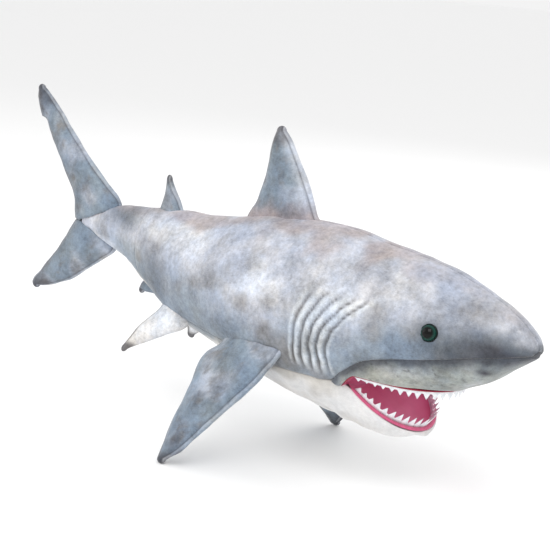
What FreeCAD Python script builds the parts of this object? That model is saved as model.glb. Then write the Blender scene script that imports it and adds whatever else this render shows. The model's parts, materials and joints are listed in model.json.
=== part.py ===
"""Plush great shark, about 66 cm long: printed short-pile fabric panels over loose polyester
filling, plastic eyes, felt teeth and a pink mouth lining.

Frame: +Z up, nose towards +X, the shark's left side towards +Y, level body, mirror plane Y = 0.
The origin is the bottom centre of the whole toy, under the tips of the pectoral fins.
All lengths are in millimetres and all angles in degrees.
"""
import FreeCAD, Part
import math
import os

Vector = FreeCAD.Vector

# ---- body -------------------------------------------------------------------------------------
BODY_LENGTH = 572.0          # point of the tail stalk to the tip of the nose
BODY_DEPTH = 185.0           # keel under the throat to the highest point of the back
BODY_WIDTH = 148.0           # across the flanks behind the gills
KEEL_Z = 57.0                # about the height of the throat over the tips of the pectoral fins
TAIL_POINT_X = -246.0

# percent along the body from the tail point, then top and bottom in percent of the depth,
# half width in percent of half the width, and the level of the widest point in percent of the depth
PROFILE = [
    (0.0, 70.8, 64.3, 5.4, 67.6),
    (10.3, 83.0, 54.6, 20.3, 69.2),
    (20.1, 85.9, 38.4, 39.2, 63.2),
    (26.9, 87.6, 27.0, 53.4, 60.0),
    (34.3, 89.0, 21.6, 69.0, 57.3),
    (48.3, 97.0, 11.9, 91.2, 53.0),
    (61.7, 99.0, 3.8, 100.0, 50.3),
    (71.3, 95.0, 0.0, 93.2, 50.3),
    (80.9, 91.3, 18.5, 82.4, 51.6),
    (88.8, 81.4, 34.5, 63.5, 53.0),
    (93.2, 73.9, 38.2, 49.3, 54.3),
    (96.0, 68.9, 44.1, 36.5, 55.7),
    (98.4, 64.3, 50.3, 20.3, 57.0),
    (100.0, 60.3, 55.4, 6.8, 58.1),
]
LOFT_STATIONS = [0, 5, 10.3, 16, 22, 28, 35, 43, 51, 59, 66, 72, 78, 83, 87.5, 91, 94, 96.5, 98.6, 100]
BACK_ROUNDNESS = 1.8         # superellipse power over the widest point: under 2 gives the back a ridge
BELLY_ROUNDNESS = 2.2
SECTION_POINTS = 16

FABRIC = 1.6                 # one layer of plush with its backing
FILL_CLEARANCE = 0.4         # between the fabric and the filling
SEAM_CLEARANCE = 0.3         # between neighbouring bodies

# grey back over white belly: percent along, percent of the depth, up to the mouth's corner
COLOUR_LINE = [(-6.0, 60.0), (14.0, 52.0), (27.0, 32.0), (41.0, 29.7), (62.0, 26.0), (70.0, 27.5)]
# the seam over the pale muzzle panel, from the mouth's corner to the nose
LIP_SEAM = [(71.5, 33.0), (76.2, 42.5), (87.0, 49.5), (95.0, 54.5), (104.0, 58.0)]

# ---- mouth ------------------------------------------------------------------------------------
MOUTH_CORNER = (71.3, 26.0)  # percent along, percent of the depth: the jaw turns here
MOUTH_ROOF_RISE = 12.0       # the upper lip's edge stands this much over the corner
MOUTH_RISE_RUN = 16.0        # and reaches that height this far in front of it
LIP_WIDTH = 8.0
PALATE_DEPTH = 20.0
PALATE_TAPER = 12.0
LINING = 1.2
GUM = 2.0
JAW_LENGTH = 73.0            # hinge to the front of the lower lip, along the lip
JAW_HALF_WIDTH = 53.0
JAW_DEPTH = 50.0             # lip to chin under the hinge
JAW_FRONT_DEPTH = 7.0
JAW_DROOP = 33.6             # the lower lip hangs this much under level
JAW_OPENS_MORE = 6.0
JAW_LIP = 7.0
LIP_START = 5.0              # the lip's ends stay clear of the gum as the mouth closes
LIP_ROLL = 4.0               # the jaw is widest this much over its lip
FLOOR_DEPTH = 9.0
TOOTH_PITCH = 7.6
TOOTH_FELT = 1.6
TOOTH_BAND = 2.5
UPPER_TOOTH = 7.0
LOWER_TOOTH = 9.0

# ---- eyes and gills ---------------------------------------------------------------------------
EYE_AT = (85.7, 62.2)        # percent along, percent of the depth
EYE_RADIUS = 7.8
EYE_STANDS = 5.0             # how far the dome stands out of the fabric
EYE_SEAT = 0.5               # the dome's flat back is this much off the curved fabric
STEM_RADIUS = 2.5
STEM_LENGTH = 13.0
STEM_CLEARANCE = 0.1
WASHER_RADIUS = 8.0
WASHER_THICK = 1.5
GILL_AT = (65.6, 74.6)       # top of the rearmost gill slit
GILLS = 5
GILL_PLEAT = 2.2             # a pleat stands this much out of the flank
GILL_PLEAT_WIDTH = 5.0
GILL_MARGIN = 8.0
# forward and upward from the slit's top: first slit, then the step from slit to slit
GILL_LINE = [((0, 0), (10, -4.5)), ((-17, -40), (9, -3)), ((-15, -79), (11.5, -3))]

# ---- joints in the body -----------------------------------------------------------------------
TAIL_BEND_AT = 25.9          # percent along
TAIL_BEND = 15.0
CAUDAL_SWING_AT = 10.4
CAUDAL_SWING = 22.0

# ---- fins: (span, trailing edge, leading edge, half thickness), from the rear end of the root ----
FIN_ROOT_GAP = 2.0
SIDE_ROOT_GAP = 5.0
FIN_SEAM = 4.0               # the two panels are sewn flat together along the edge
LEAST_FILLING = 0.3          # half the thickness of the filling at a thin end
DORSAL_ROOT = (40.6, 55.8)
DORSAL = [(0, 0, 88, 4), (10, 9, 85, 10), (30, 20, 78, 10), (55, 29, 67, 8), (75, 35, 57, 5),
          (84, 39, 49, 2.6)]
SECOND_DORSAL_ROOT = (19.7, 25.2)
SECOND_DORSAL = [(0, 0, 31, 2.5), (9, 4, 27, 5), (19, 7, 20, 4), (29, 9, 15, 2.4)]
ANAL_ROOT = (16.8, 21.7)
ANAL = [(0, 0, 28, 2.2), (6, -1, 18, 3.6), (12, 0, 8, 2.4)]
PECTORAL_ROOT = ((44.6, 27.6), (60.0, 31.4))
PECTORAL_TIP_OUT = 125.0     # the tips' distance from the mirror plane
PECTORAL_FORWARD = {-1: 0.0, 1: 0.25}   # the left fin hangs further forward, per length of its span
PECTORAL = [(0, 0, 88, 2.5), (12, -15, 82, 8), (24, -19, 77, 10), (45, -14, 63, 10), (70, -14, 46, 8),
            (98, -13, 28, 6), (118, -11, 15, 4.4), (131, -9, -1, 2.6)]
PELVIC_ROOT = ((25.4, 33.0), (33.4, 27.5))
PELVIC_SWEEP = (-14.0, 26.0, 43.0)   # root to tip: back, out and down
PELVIC = [(0, 0, 47, 2), (14, -4, 34, 5.5), (35, -9, 15, 4.4), (56, -11, -3, 2.4)]
LOBE_ROOT_GAP = 1.0
LOBE_NOTCH = 16.0            # the lobes meet this far behind the tail point
UPPER_LOBE = [(0, 0, 76, 5), (23, 6, 63, 8), (48, 2, 48, 8), (75, -4, 34, 7), (100, -9, 22, 6),
              (116, -12, 15.5, 5), (120, -18, 13, 5), (142, -19, 1, 3.6), (150, -15, -5, 2.4)]
LOWER_LOBE = [(0, 0, 70, 5), (20, -4, 57, 8), (42, -12, 40, 8), (64, -21, 22, 7), (83, -28, 0, 5),
              (93, -33, -15, 3.6), (97, -34, -24, 2.4)]

FAR = 1000.0


# ---- shape of the body ------------------------------------------------------------------------
def along(percent):
    """X at a percentage of the body's length, from the tail point."""
    return TAIL_POINT_X + BODY_LENGTH * percent / 100.0


def level(percent):
    """Z at a percentage of the body's depth, from the keel."""
    return KEEL_Z + BODY_DEPTH * percent / 100.0


def smooth(rows, column, x):
    """Value of one column at x, by monotone cubic interpolation, so no waves between the rows."""
    xs = [row[0] for row in rows]
    ys = [row[column] for row in rows]
    x = min(max(x, xs[0]), xs[-1])
    slopes = [(ys[i + 1] - ys[i]) / (xs[i + 1] - xs[i]) for i in range(len(xs) - 1)]
    tangents = [slopes[0]]
    for a, b in zip(slopes, slopes[1:]):
        tangents.append(0.0 if a * b <= 0 else 2.0 * a * b / (a + b))
    tangents.append(slopes[-1])
    i = max(k for k in range(len(xs) - 1) if xs[k] <= x)
    step = xs[i + 1] - xs[i]
    t = (x - xs[i]) / step
    return (ys[i] * (1 + 2 * t) * (1 - t) ** 2 + tangents[i] * step * t * (1 - t) ** 2
            + ys[i + 1] * t * t * (3 - 2 * t) + tangents[i + 1] * step * t * t * (t - 1))


def body_at(percent):
    """Top, bottom, half width and widest level of the body at a percentage of its length."""
    top, bottom, width, widest = (smooth(PROFILE, column, percent) for column in (1, 2, 3, 4))
    return level(top), level(bottom), BODY_WIDTH / 2 * width / 100.0, level(widest)


def flank(x, z):
    """Half width of the body at a point of its length and height."""
    top, bottom, width, widest = body_at((x - TAIL_POINT_X) / BODY_LENGTH * 100.0)
    reach, power = (top - widest, BACK_ROUNDNESS) if z > widest else (widest - bottom, BELLY_ROUNDNESS)
    share = min(abs(z - widest) / reach, 1.0)
    return width * (1.0 - share ** power) ** (1.0 / power)


def section(x, top, bottom, width, widest):
    """Closed smooth cross-section of the body, in the plane at x."""
    points = []
    for k in range(SECTION_POINTS):
        turn = 2.0 * math.pi * k / SECTION_POINTS
        c, s = math.cos(turn), math.sin(turn)
        power = 2.0 / (BACK_ROUNDNESS if s > 0 else BELLY_ROUNDNESS)
        reach = top - widest if s > 0 else widest - bottom
        y = width * math.copysign(abs(c) ** power, c)
        z = widest + reach * math.copysign(abs(s) ** power, s)
        points.append(Vector(x, y, z))
    curve = Part.BSplineCurve()
    curve.interpolate(Points=points, PeriodicFlag=True)
    return Part.Wire(curve.toShape())


def body_form(inset):
    """The whole body, a distance inside its fabric's face (outside it if negative)."""
    wires = []
    for percent in LOFT_STATIONS:
        top, bottom, width, widest = body_at(percent)
        x = along(percent)
        nose_run = along(100.0) - x
        x -= inset * max(0.0, 1.0 - nose_run / 40.0) * 1.6
        tail_run = x - along(0.0)
        x += inset * max(0.0, 1.0 - tail_run / 40.0) * 1.6
        least = 1.2
        wires.append(section(x, max(top - inset, widest + least), min(bottom + inset, widest - least),
                             max(width - inset, least), widest))
    return Part.makeLoft(wires, True, False)


def prism_y(points, y0, y1):
    """A closed outline in X and Z, extruded across the body from y0 to y1."""
    ring = [Vector(x, y0, z) for x, z in points]
    return Part.Face(Part.makePolygon(ring + ring[:1])).extrude(Vector(0, y1 - y0, 0))


def prism_z(points, z0, z1):
    """A closed outline in X and Y, extruded upwards from z0 to z1."""
    ring = [Vector(x, y, z0) for x, y in points]
    return Part.Face(Part.makePolygon(ring + ring[:1])).extrude(Vector(0, 0, z1 - z0))


def slab(side):
    """All that is on one side of the mirror plane: side is -1 for the right, 1 for the left."""
    return Part.makeBox(2 * FAR, FAR, 2 * FAR, Vector(-FAR, 0 if side > 0 else -FAR, -FAR))


def ahead_of(percent, angle):
    """Everything in front of an upright hinge line in the mirror plane, less room to bend."""
    x = along(percent) + SEAM_CLEARANCE
    lean = FAR * math.tan(math.radians(angle / 2 + 0.4))
    return prism_z([(x, 0), (x + lean, -FAR), (3 * FAR, -FAR), (3 * FAR, FAR), (x + lean, FAR)], -FAR, FAR)


def behind(percent, angle):
    """Everything behind an upright hinge line in the mirror plane, less room to bend."""
    x = along(percent) - SEAM_CLEARANCE
    lean = FAR * math.tan(math.radians(angle / 2 + 0.4))
    far = 3 * FAR
    return prism_z([(x, 0), (x - lean, FAR), (-far, FAR), (-far, -FAR), (x - lean, -FAR)], -FAR, FAR)


# ---- mouth ------------------------------------------------------------------------------------
HINGE = Vector(along(MOUTH_CORNER[0]), 0, level(MOUTH_CORNER[1]))


def mouth_gap(lift):
    """What the mouth and the lower jaw leave out of the head: under the upper lip, ahead of the throat."""
    back = HINGE.x - SEAM_CLEARANCE
    drop = HINGE.z + FAR
    return prism_y([(back, HINGE.z + lift), (back + MOUTH_RISE_RUN, HINGE.z + MOUTH_ROOF_RISE + lift),
                    (FAR, HINGE.z + MOUTH_ROOF_RISE + lift), (FAR, -FAR),
                    (back - drop * math.tan(math.radians(JAW_OPENS_MORE + 0.6)), -FAR)], -FAR, FAR)


def lip_front():
    """X of the upper lip's edge in the mirror plane."""
    z = HINGE.z + MOUTH_ROOF_RISE
    x = HINGE.x
    while flank(x + 0.25, z) > 0:
        x += 0.25
    return x


def lip_edge(inset, steps=60):
    """Plan of the upper lip's edge from the right corner, round the front, to the left corner."""
    z = HINGE.z + MOUTH_ROOF_RISE
    front = lip_front() - inset
    right = []
    for k in range(steps + 1):
        turn = math.pi / 2 * k / steps
        x = HINGE.x + (front - HINGE.x) * math.sin(turn)
        y = flank(x + inset * math.sin(turn), z) - inset * math.cos(turn)
        right.append((x, -max(y, 0.0)))
    left = [(x, -y) for x, y in reversed(right[:-1])]
    return right + left


def arch(back, front, width, z):
    """Closed plan outline at z: a straight back edge and a round front, as a mouth is."""
    points = []
    for k in range(13):
        turn = math.pi * k / 12
        share = math.sin(turn) ** 0.8
        y = -width * math.copysign(abs(math.cos(turn)) ** 0.85, math.cos(turn))
        points.append(Vector(back + (front - back) * share, y, z))
    curve = Part.BSplineCurve()
    curve.interpolate(points)
    return Part.Wire([curve.toShape(), Part.makeLine(points[-1], points[0])])


def palate_form(inset):
    """The hollow over the tongue, narrower at its roof."""
    edge_z = HINGE.z + MOUTH_ROOF_RISE
    back = HINGE.x + MOUTH_RISE_RUN / 2 + inset
    front = lip_front() - LIP_WIDTH - inset
    width = flank(back, edge_z) - LIP_WIDTH - inset
    floor = arch(back, front, width, HINGE.z - 1.0)
    roof = arch(back + PALATE_TAPER / 2, front - PALATE_TAPER, width - PALATE_TAPER,
                edge_z + PALATE_DEPTH - inset)
    return Part.makeLoft([floor, roof], True, True)


def resample(points, count):
    """The same plan line through a given number of evenly spaced points."""
    runs = [math.dist(a, b) for a, b in zip(points, points[1:])]
    total = sum(runs)
    out = []
    for k in range(count):
        want = total * k / (count - 1)
        i = 0
        while i < len(runs) - 1 and want > runs[i]:
            want -= runs[i]
            i += 1
        t = min(want / runs[i], 1.0)
        out.append(tuple(a + (b - a) * t for a, b in zip(points[i], points[i + 1])))
    return out


def jaw_width(run):
    """Half width of the lower lip at a distance along it from the hinge."""
    share = min(max(run / JAW_LENGTH, 0.0), 1.0)
    return JAW_HALF_WIDTH * (1.0 - share ** 2.6) ** (1 / 2.0)


def lip_drop(x):
    """Height of the lower lip's plane at x."""
    return HINGE.z - (x - HINGE.x) * math.tan(math.radians(JAW_DROOP))


def jaw_form(inset):
    """The closed form that the lower jaw is cut from: a scoop that runs out under the hinge."""
    wires = []
    front = JAW_LENGTH * math.cos(math.radians(JAW_DROOP))
    for share in (-0.12, 0.1, 0.3, 0.5, 0.68, 0.82, 0.92, 0.975, 0.998):
        x = HINGE.x + front * share
        run = max(share, 0.0) * JAW_LENGTH
        width = jaw_width(run)
        chin = HINGE.z - JAW_DEPTH
        rise = max(0.0, share - 0.6) / 0.4
        bottom = min(chin + 6.0 * rise ** 2, lip_drop(x) - JAW_FRONT_DEPTH)
        x -= inset if share < 0 else inset * share ** 2
        widest = lip_drop(x) + LIP_ROLL
        wires.append(section(x, widest + 10.0 + inset, min(bottom + inset, widest - LIP_ROLL - 1.5),
                             max(width - inset, 2.0), widest))
    return Part.makeLoft(wires, True, False)


def over_lip(lift):
    """Everything ahead of the hinge and over the lower lip's plane, moved by a lift square to it."""
    tilt = math.radians(JAW_DROOP)
    nx, nz = math.sin(tilt), math.cos(tilt)
    x0, z0 = HINGE.x + nx * lift, HINGE.z + nz * lift
    run = 200.0
    a = (x0 - run * nz, z0 + run * nx)
    b = (x0 + run * nz, z0 - run * nx)
    return prism_y([a, b, (b[0] + run * nx, b[1] + run * nz), (a[0] + run * nx, a[1] + run * nz)], -FAR, FAR)


def lip_band():
    """The rolled pink edge round the lower lip, open towards the throat."""
    tilt = math.radians(JAW_DROOP)
    up = Vector(math.sin(tilt), 0, math.cos(tilt))
    inset = JAW_LIP + LINING
    outer, inner = [], []
    for k in range(31):
        turn = math.pi / 2 * k / 30
        run = LIP_START + (JAW_LENGTH * 0.998 - LIP_START) * math.sin(turn)
        outer.append((run, jaw_width(run) - SEAM_CLEARANCE))
        run = LIP_START + (JAW_LENGTH - inset - LIP_START) * math.sin(turn)
        inner.append((run, jaw_width(run + inset * (run / JAW_LENGTH) ** 2) - inset))
    outer = [(run, max(y, 0.0)) for run, y in outer]
    inner = [(run, max(y, 0.0)) for run, y in inner]
    plan = ([(run, -y) for run, y in outer] + [(run, y) for run, y in reversed(outer[:-1])]
            + inner[:-1] + [(run, -y) for run, y in reversed(inner)])
    ring = [Vector(HINGE.x + run * math.cos(tilt), y, HINGE.z - run * math.sin(tilt)) for run, y in plan]
    return Part.Face(Part.makePolygon(ring + ring[:1])).extrude(up * GUM)


def tooth(width, height, at, outwards, points_to):
    """One felt tooth on its share of the sewn band: a pointed prism of the felt's thickness."""
    run = points_to.cross(outwards)
    run.normalize()
    half = width / 2 - 0.1
    corners = [(-half, 0), (half, 0), (half, TOOTH_BAND), (0, height), (-half, TOOTH_BAND)]
    ring = [at + run * a + points_to * b - outwards * (TOOTH_FELT / 2) for a, b in corners]
    return Part.Face(Part.makePolygon(ring + ring[:1])).extrude(outwards * TOOTH_FELT)


def tooth_row(line, height, points_to, lift):
    """Teeth side by side along a line of points, each one square to the line."""
    runs = [(b - a).Length for a, b in zip(line, line[1:])]
    total = sum(runs)
    count = int(total / TOOTH_PITCH)
    pitch = total / count
    teeth = []
    for k in range(count):
        want = pitch * (k + 0.5)
        i = 0
        while want > runs[i]:
            want -= runs[i]
            i += 1
        run = (line[i + 1] - line[i]).normalize()
        at = line[i] + run * want + points_to * lift
        outwards = run.cross(points_to).normalize()
        share = 1.0 - abs(2.0 * (k + 0.5) / count - 1.0)
        teeth.append(tooth(pitch, height * (0.72 + 0.28 * min(1.0, 2.0 * share)), at, outwards, points_to))
    return Part.Compound(teeth)


def upper_teeth():
    edge = resample([p for p in lip_edge(LIP_WIDTH / 2) if p[0] > HINGE.x + MOUTH_RISE_RUN + 4], 81)
    line = [Vector(x, y, HINGE.z + MOUTH_ROOF_RISE) for x, y in edge]
    return tooth_row(line, UPPER_TOOTH, Vector(0, 0, -1), SEAM_CLEARANCE)


def lower_teeth():
    tilt = math.radians(JAW_DROOP)
    up = Vector(math.sin(tilt), 0, math.cos(tilt))
    inset = JAW_LIP / 2
    runs = [JAW_LENGTH * math.sin(math.pi / 2 * k / 40) for k in range(4, 41)]
    half = [(run * (1 - inset / JAW_LENGTH), max(jaw_width(run) - inset, 0.0)) for run in runs]
    plan = [(run, -y) for run, y in half] + [(run, y) for run, y in reversed(half[:-1])]
    line = [Vector(HINGE.x + run * math.cos(tilt), y, HINGE.z - run * math.sin(tilt))
            for run, y in resample(plan, 81)]
    return tooth_row(line, LOWER_TOOTH, up, GUM + SEAM_CLEARANCE)


# ---- fins -------------------------------------------------------------------------------------
class Fin:
    """A flat, padded fin: two fabric panels sewn round the edge, over a thin filling."""

    def __init__(self, rear, front, towards, rows, forward=0.0):
        self.rear = rear
        self.chord = (front - rear).normalize()
        span = towards - rear
        span = (span - self.chord * span.dot(self.chord)).normalize()
        self.face = self.chord.cross(span).normalize()
        self.span = span + Vector(forward, 0, 0)
        self.rows = rows

    def lens(self, row, inset, side):
        """Cross-section of the fin: a lens, or the half of it on one side of its middle plane."""
        span, trailing, leading, thick = row
        edge = min(FIN_SEAM, (leading - trailing) * 0.25) + inset - FABRIC if inset else 0.0
        a = self.rear + self.span * span + self.chord * (trailing + edge)
        b = self.rear + self.span * span + self.chord * (leading - edge)
        swell = max(thick, FABRIC + FILL_CLEARANCE + LEAST_FILLING) - inset
        middle = (a + b) * 0.5
        up = Part.Arc(b, middle + self.face * swell, a).toShape()
        down = Part.Arc(a, middle - self.face * swell, b).toShape()
        if side > 0:
            return Part.Wire([up, Part.makeLine(a, b)])
        if side < 0:
            return Part.Wire([down, Part.makeLine(b, a)])
        return Part.Wire([up, down])

    def form(self, inset, side):
        rows = [list(row) for row in self.rows]
        if inset:
            rows[0][0] += inset
            rows[-1][0] -= inset + 1.0
            rows = [row for i, row in enumerate(rows) if i in (0, len(rows) - 1)
                    or rows[0][0] + 2 < row[0] < rows[-1][0] - 2]
        return Part.makeLoft([self.lens(row, inset, side) for row in rows], True, True)

    def panel(self, side):
        """One fabric face of the fin, on the side that face points to if side is 1."""
        return self.form(0.0, side).cut(self.form(FABRIC, side))

    def filling(self):
        return self.form(FABRIC + FILL_CLEARANCE, 0)


def fin_pieces(name, fin, plus, minus):
    """Panels and filling of one fin; plus and minus name the panels on either side of it."""
    return {name + "_" + plus: fin.panel(1), name + "_" + minus: fin.panel(-1),
            name + "_filling": fin.filling()}


def clear_of_body(ends, upwards, gap):
    """Moves a root line in the mirror plane off the back (upwards 1) or the keel (upwards -1) by a gap."""
    a, b = ends
    rise = 0.0
    for k in range(41):
        at = a + (b - a) * (k / 40)
        if at.x >= TAIL_POINT_X:
            edge = body_at((at.x - TAIL_POINT_X) / BODY_LENGTH * 100.0)[0 if upwards > 0 else 1]
            rise = max(rise, upwards * (edge - at.z))
    lift = Vector(0, 0, upwards * (rise + gap))
    return a + lift, b + lift


def back_fin(root, rows, upwards):
    """A fin in the mirror plane on the back (upwards 1) or under the tail (upwards -1)."""
    ends = [Vector(along(percent), 0, body_at(percent)[0 if upwards > 0 else 1]) for percent in root]
    rear, front = clear_of_body(ends, upwards, FIN_ROOT_GAP)
    return Fin(rear, front, rear + Vector(0, 0, upwards * 100.0), rows)


def side_fin(root, sweep, rows, side, forward=0.0):
    """A fin on one flank: sweep is back, out and down from the rear of the root to the tip."""
    ends = []
    for percent, height in root:
        x, z = along(percent), level(height)
        ends.append(Vector(x, side * (flank(x, z) + SIDE_ROOT_GAP), z))
    tip = ends[0] + Vector(sweep[0], side * sweep[1], -sweep[2])
    return Fin(ends[0], ends[1], tip, rows, forward)


def pectoral(side):
    """The tip comes down to the level that the toy's height is counted from."""
    x, z = along(PECTORAL_ROOT[0][0]), level(PECTORAL_ROOT[0][1])
    out = PECTORAL_TIP_OUT - flank(x, z) - SIDE_ROOT_GAP
    return side_fin(PECTORAL_ROOT, (0.0, out, z), PECTORAL, side, PECTORAL_FORWARD[side])


def tail_lobe(rows, upwards):
    """A lobe of the tail fin, sewn along the edge of the stalk's point."""
    top, bottom, width, widest = body_at(CAUDAL_SWING_AT - 0.6)
    edge_x = along(CAUDAL_SWING_AT - 0.6)
    end_top, end_bottom = body_at(0.0)[:2]
    ends = [Vector(along(0.0) - LOBE_NOTCH, 0, (end_top + end_bottom) / 2),
            Vector(edge_x, 0, top if upwards > 0 else bottom)]
    notch, edge = clear_of_body(ends, upwards, LOBE_ROOT_GAP)
    return Fin(notch, edge, notch + Vector(0, 0, upwards * 100.0), rows)


# ---- sub-parts --------------------------------------------------------------------------------
def percent_points(rows):
    return [(along(a), level(b)) for a, b in rows]


def grey_zone():
    """Over the colour line and the muzzle's seam, where the printed side panels are."""
    line = percent_points(COLOUR_LINE + LIP_SEAM)
    return prism_y(line + [(line[-1][0], FAR), (line[0][0], FAR)], -FAR, FAR)


def muzzle_zone():
    """Under the muzzle's seam and ahead of the mouth's corner."""
    line = percent_points(LIP_SEAM)
    return prism_y(line + [(line[-1][0], -FAR), (line[0][0], -FAR)], -FAR, FAR)


def gill_slit(number, shift):
    """Centre line of a gill slit in X and Z, top to bottom, moved forwards by shift."""
    x0, z0 = along(GILL_AT[0]), level(GILL_AT[1])
    return [(x0 + at[0] + step[0] * number + shift, z0 + at[1] + step[1] * number) for at, step in GILL_LINE]


def gill_zone():
    rear, front = gill_slit(0, -GILL_MARGIN), gill_slit(GILLS - 1, GILL_MARGIN)
    rear[0] = (rear[0][0], rear[0][1] + GILL_MARGIN)
    front[0] = (front[0][0], front[0][1] + GILL_MARGIN)
    return prism_y(rear + front[::-1], -FAR, FAR)


def gill_pleats():
    """Upright strips, one behind each gill slit, where the flank is folded outwards."""
    strips = []
    for number in range(GILLS):
        rear = gill_slit(number, -GILL_PLEAT_WIDTH / 2)
        front = gill_slit(number, GILL_PLEAT_WIDTH / 2)
        strips.append(prism_y(rear + front[::-1], -FAR, FAR))
    return strips


def eye_place(side):
    """Where the eye's stem goes through the fabric, and the way the eye faces, square to the fabric."""
    x, z = along(EYE_AT[0]), level(EYE_AT[1])
    slope_x = (flank(x + EYE_RADIUS, z) - flank(x - EYE_RADIUS, z)) / (2 * EYE_RADIUS)
    slope_z = (flank(x, z + EYE_RADIUS) - flank(x, z - EYE_RADIUS)) / (2 * EYE_RADIUS)
    faces = Vector(-slope_x, side, -slope_z).normalize()
    return Vector(x, side * flank(x, z), z), faces


def eye(side):
    """Domed plastic eye with a stem on its back."""
    at, faces = eye_place(side)
    ball = Part.makeSphere(EYE_RADIUS, at + faces * (EYE_STANDS - EYE_RADIUS))
    seat = at + faces * EYE_SEAT
    front = Part.makeCylinder(2 * EYE_RADIUS, 2 * EYE_RADIUS, seat, faces)
    stem = Part.makeCylinder(STEM_RADIUS, STEM_LENGTH + EYE_SEAT + 1.0, seat + faces, faces * -1)
    return ball.common(front).fuse(stem).removeSplitter()


def eye_washer(side):
    at, faces = eye_place(side)
    back = at - faces * (FABRIC + FILL_CLEARANCE + WASHER_THICK + 1.2)
    disc = Part.makeCylinder(WASHER_RADIUS, WASHER_THICK, back, faces)
    return disc.cut(Part.makeCylinder(STEM_RADIUS + STEM_CLEARANCE, 3 * WASHER_THICK, back - faces, faces))


def stem_hole(side):
    """The hole in the fabric that the eye's stem goes through."""
    at, faces = eye_place(side)
    return Part.makeCylinder(STEM_RADIUS + STEM_CLEARANCE, 40.0, at + faces * 10.0, faces * -1)


def eye_pocket(side):
    """Room for the stem and its washer in the filling."""
    at, faces = eye_place(side)
    return Part.makeCylinder(WASHER_RADIUS + FILL_CLEARANCE, STEM_LENGTH + FILL_CLEARANCE + 6.0,
                             at + faces * 6.0, faces * -1)


def one_solid(shape):
    """The largest solid of a cut shape, without the slivers that a curved cut can leave."""
    return max(shape.Solids, key=lambda solid: solid.Volume)


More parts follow.
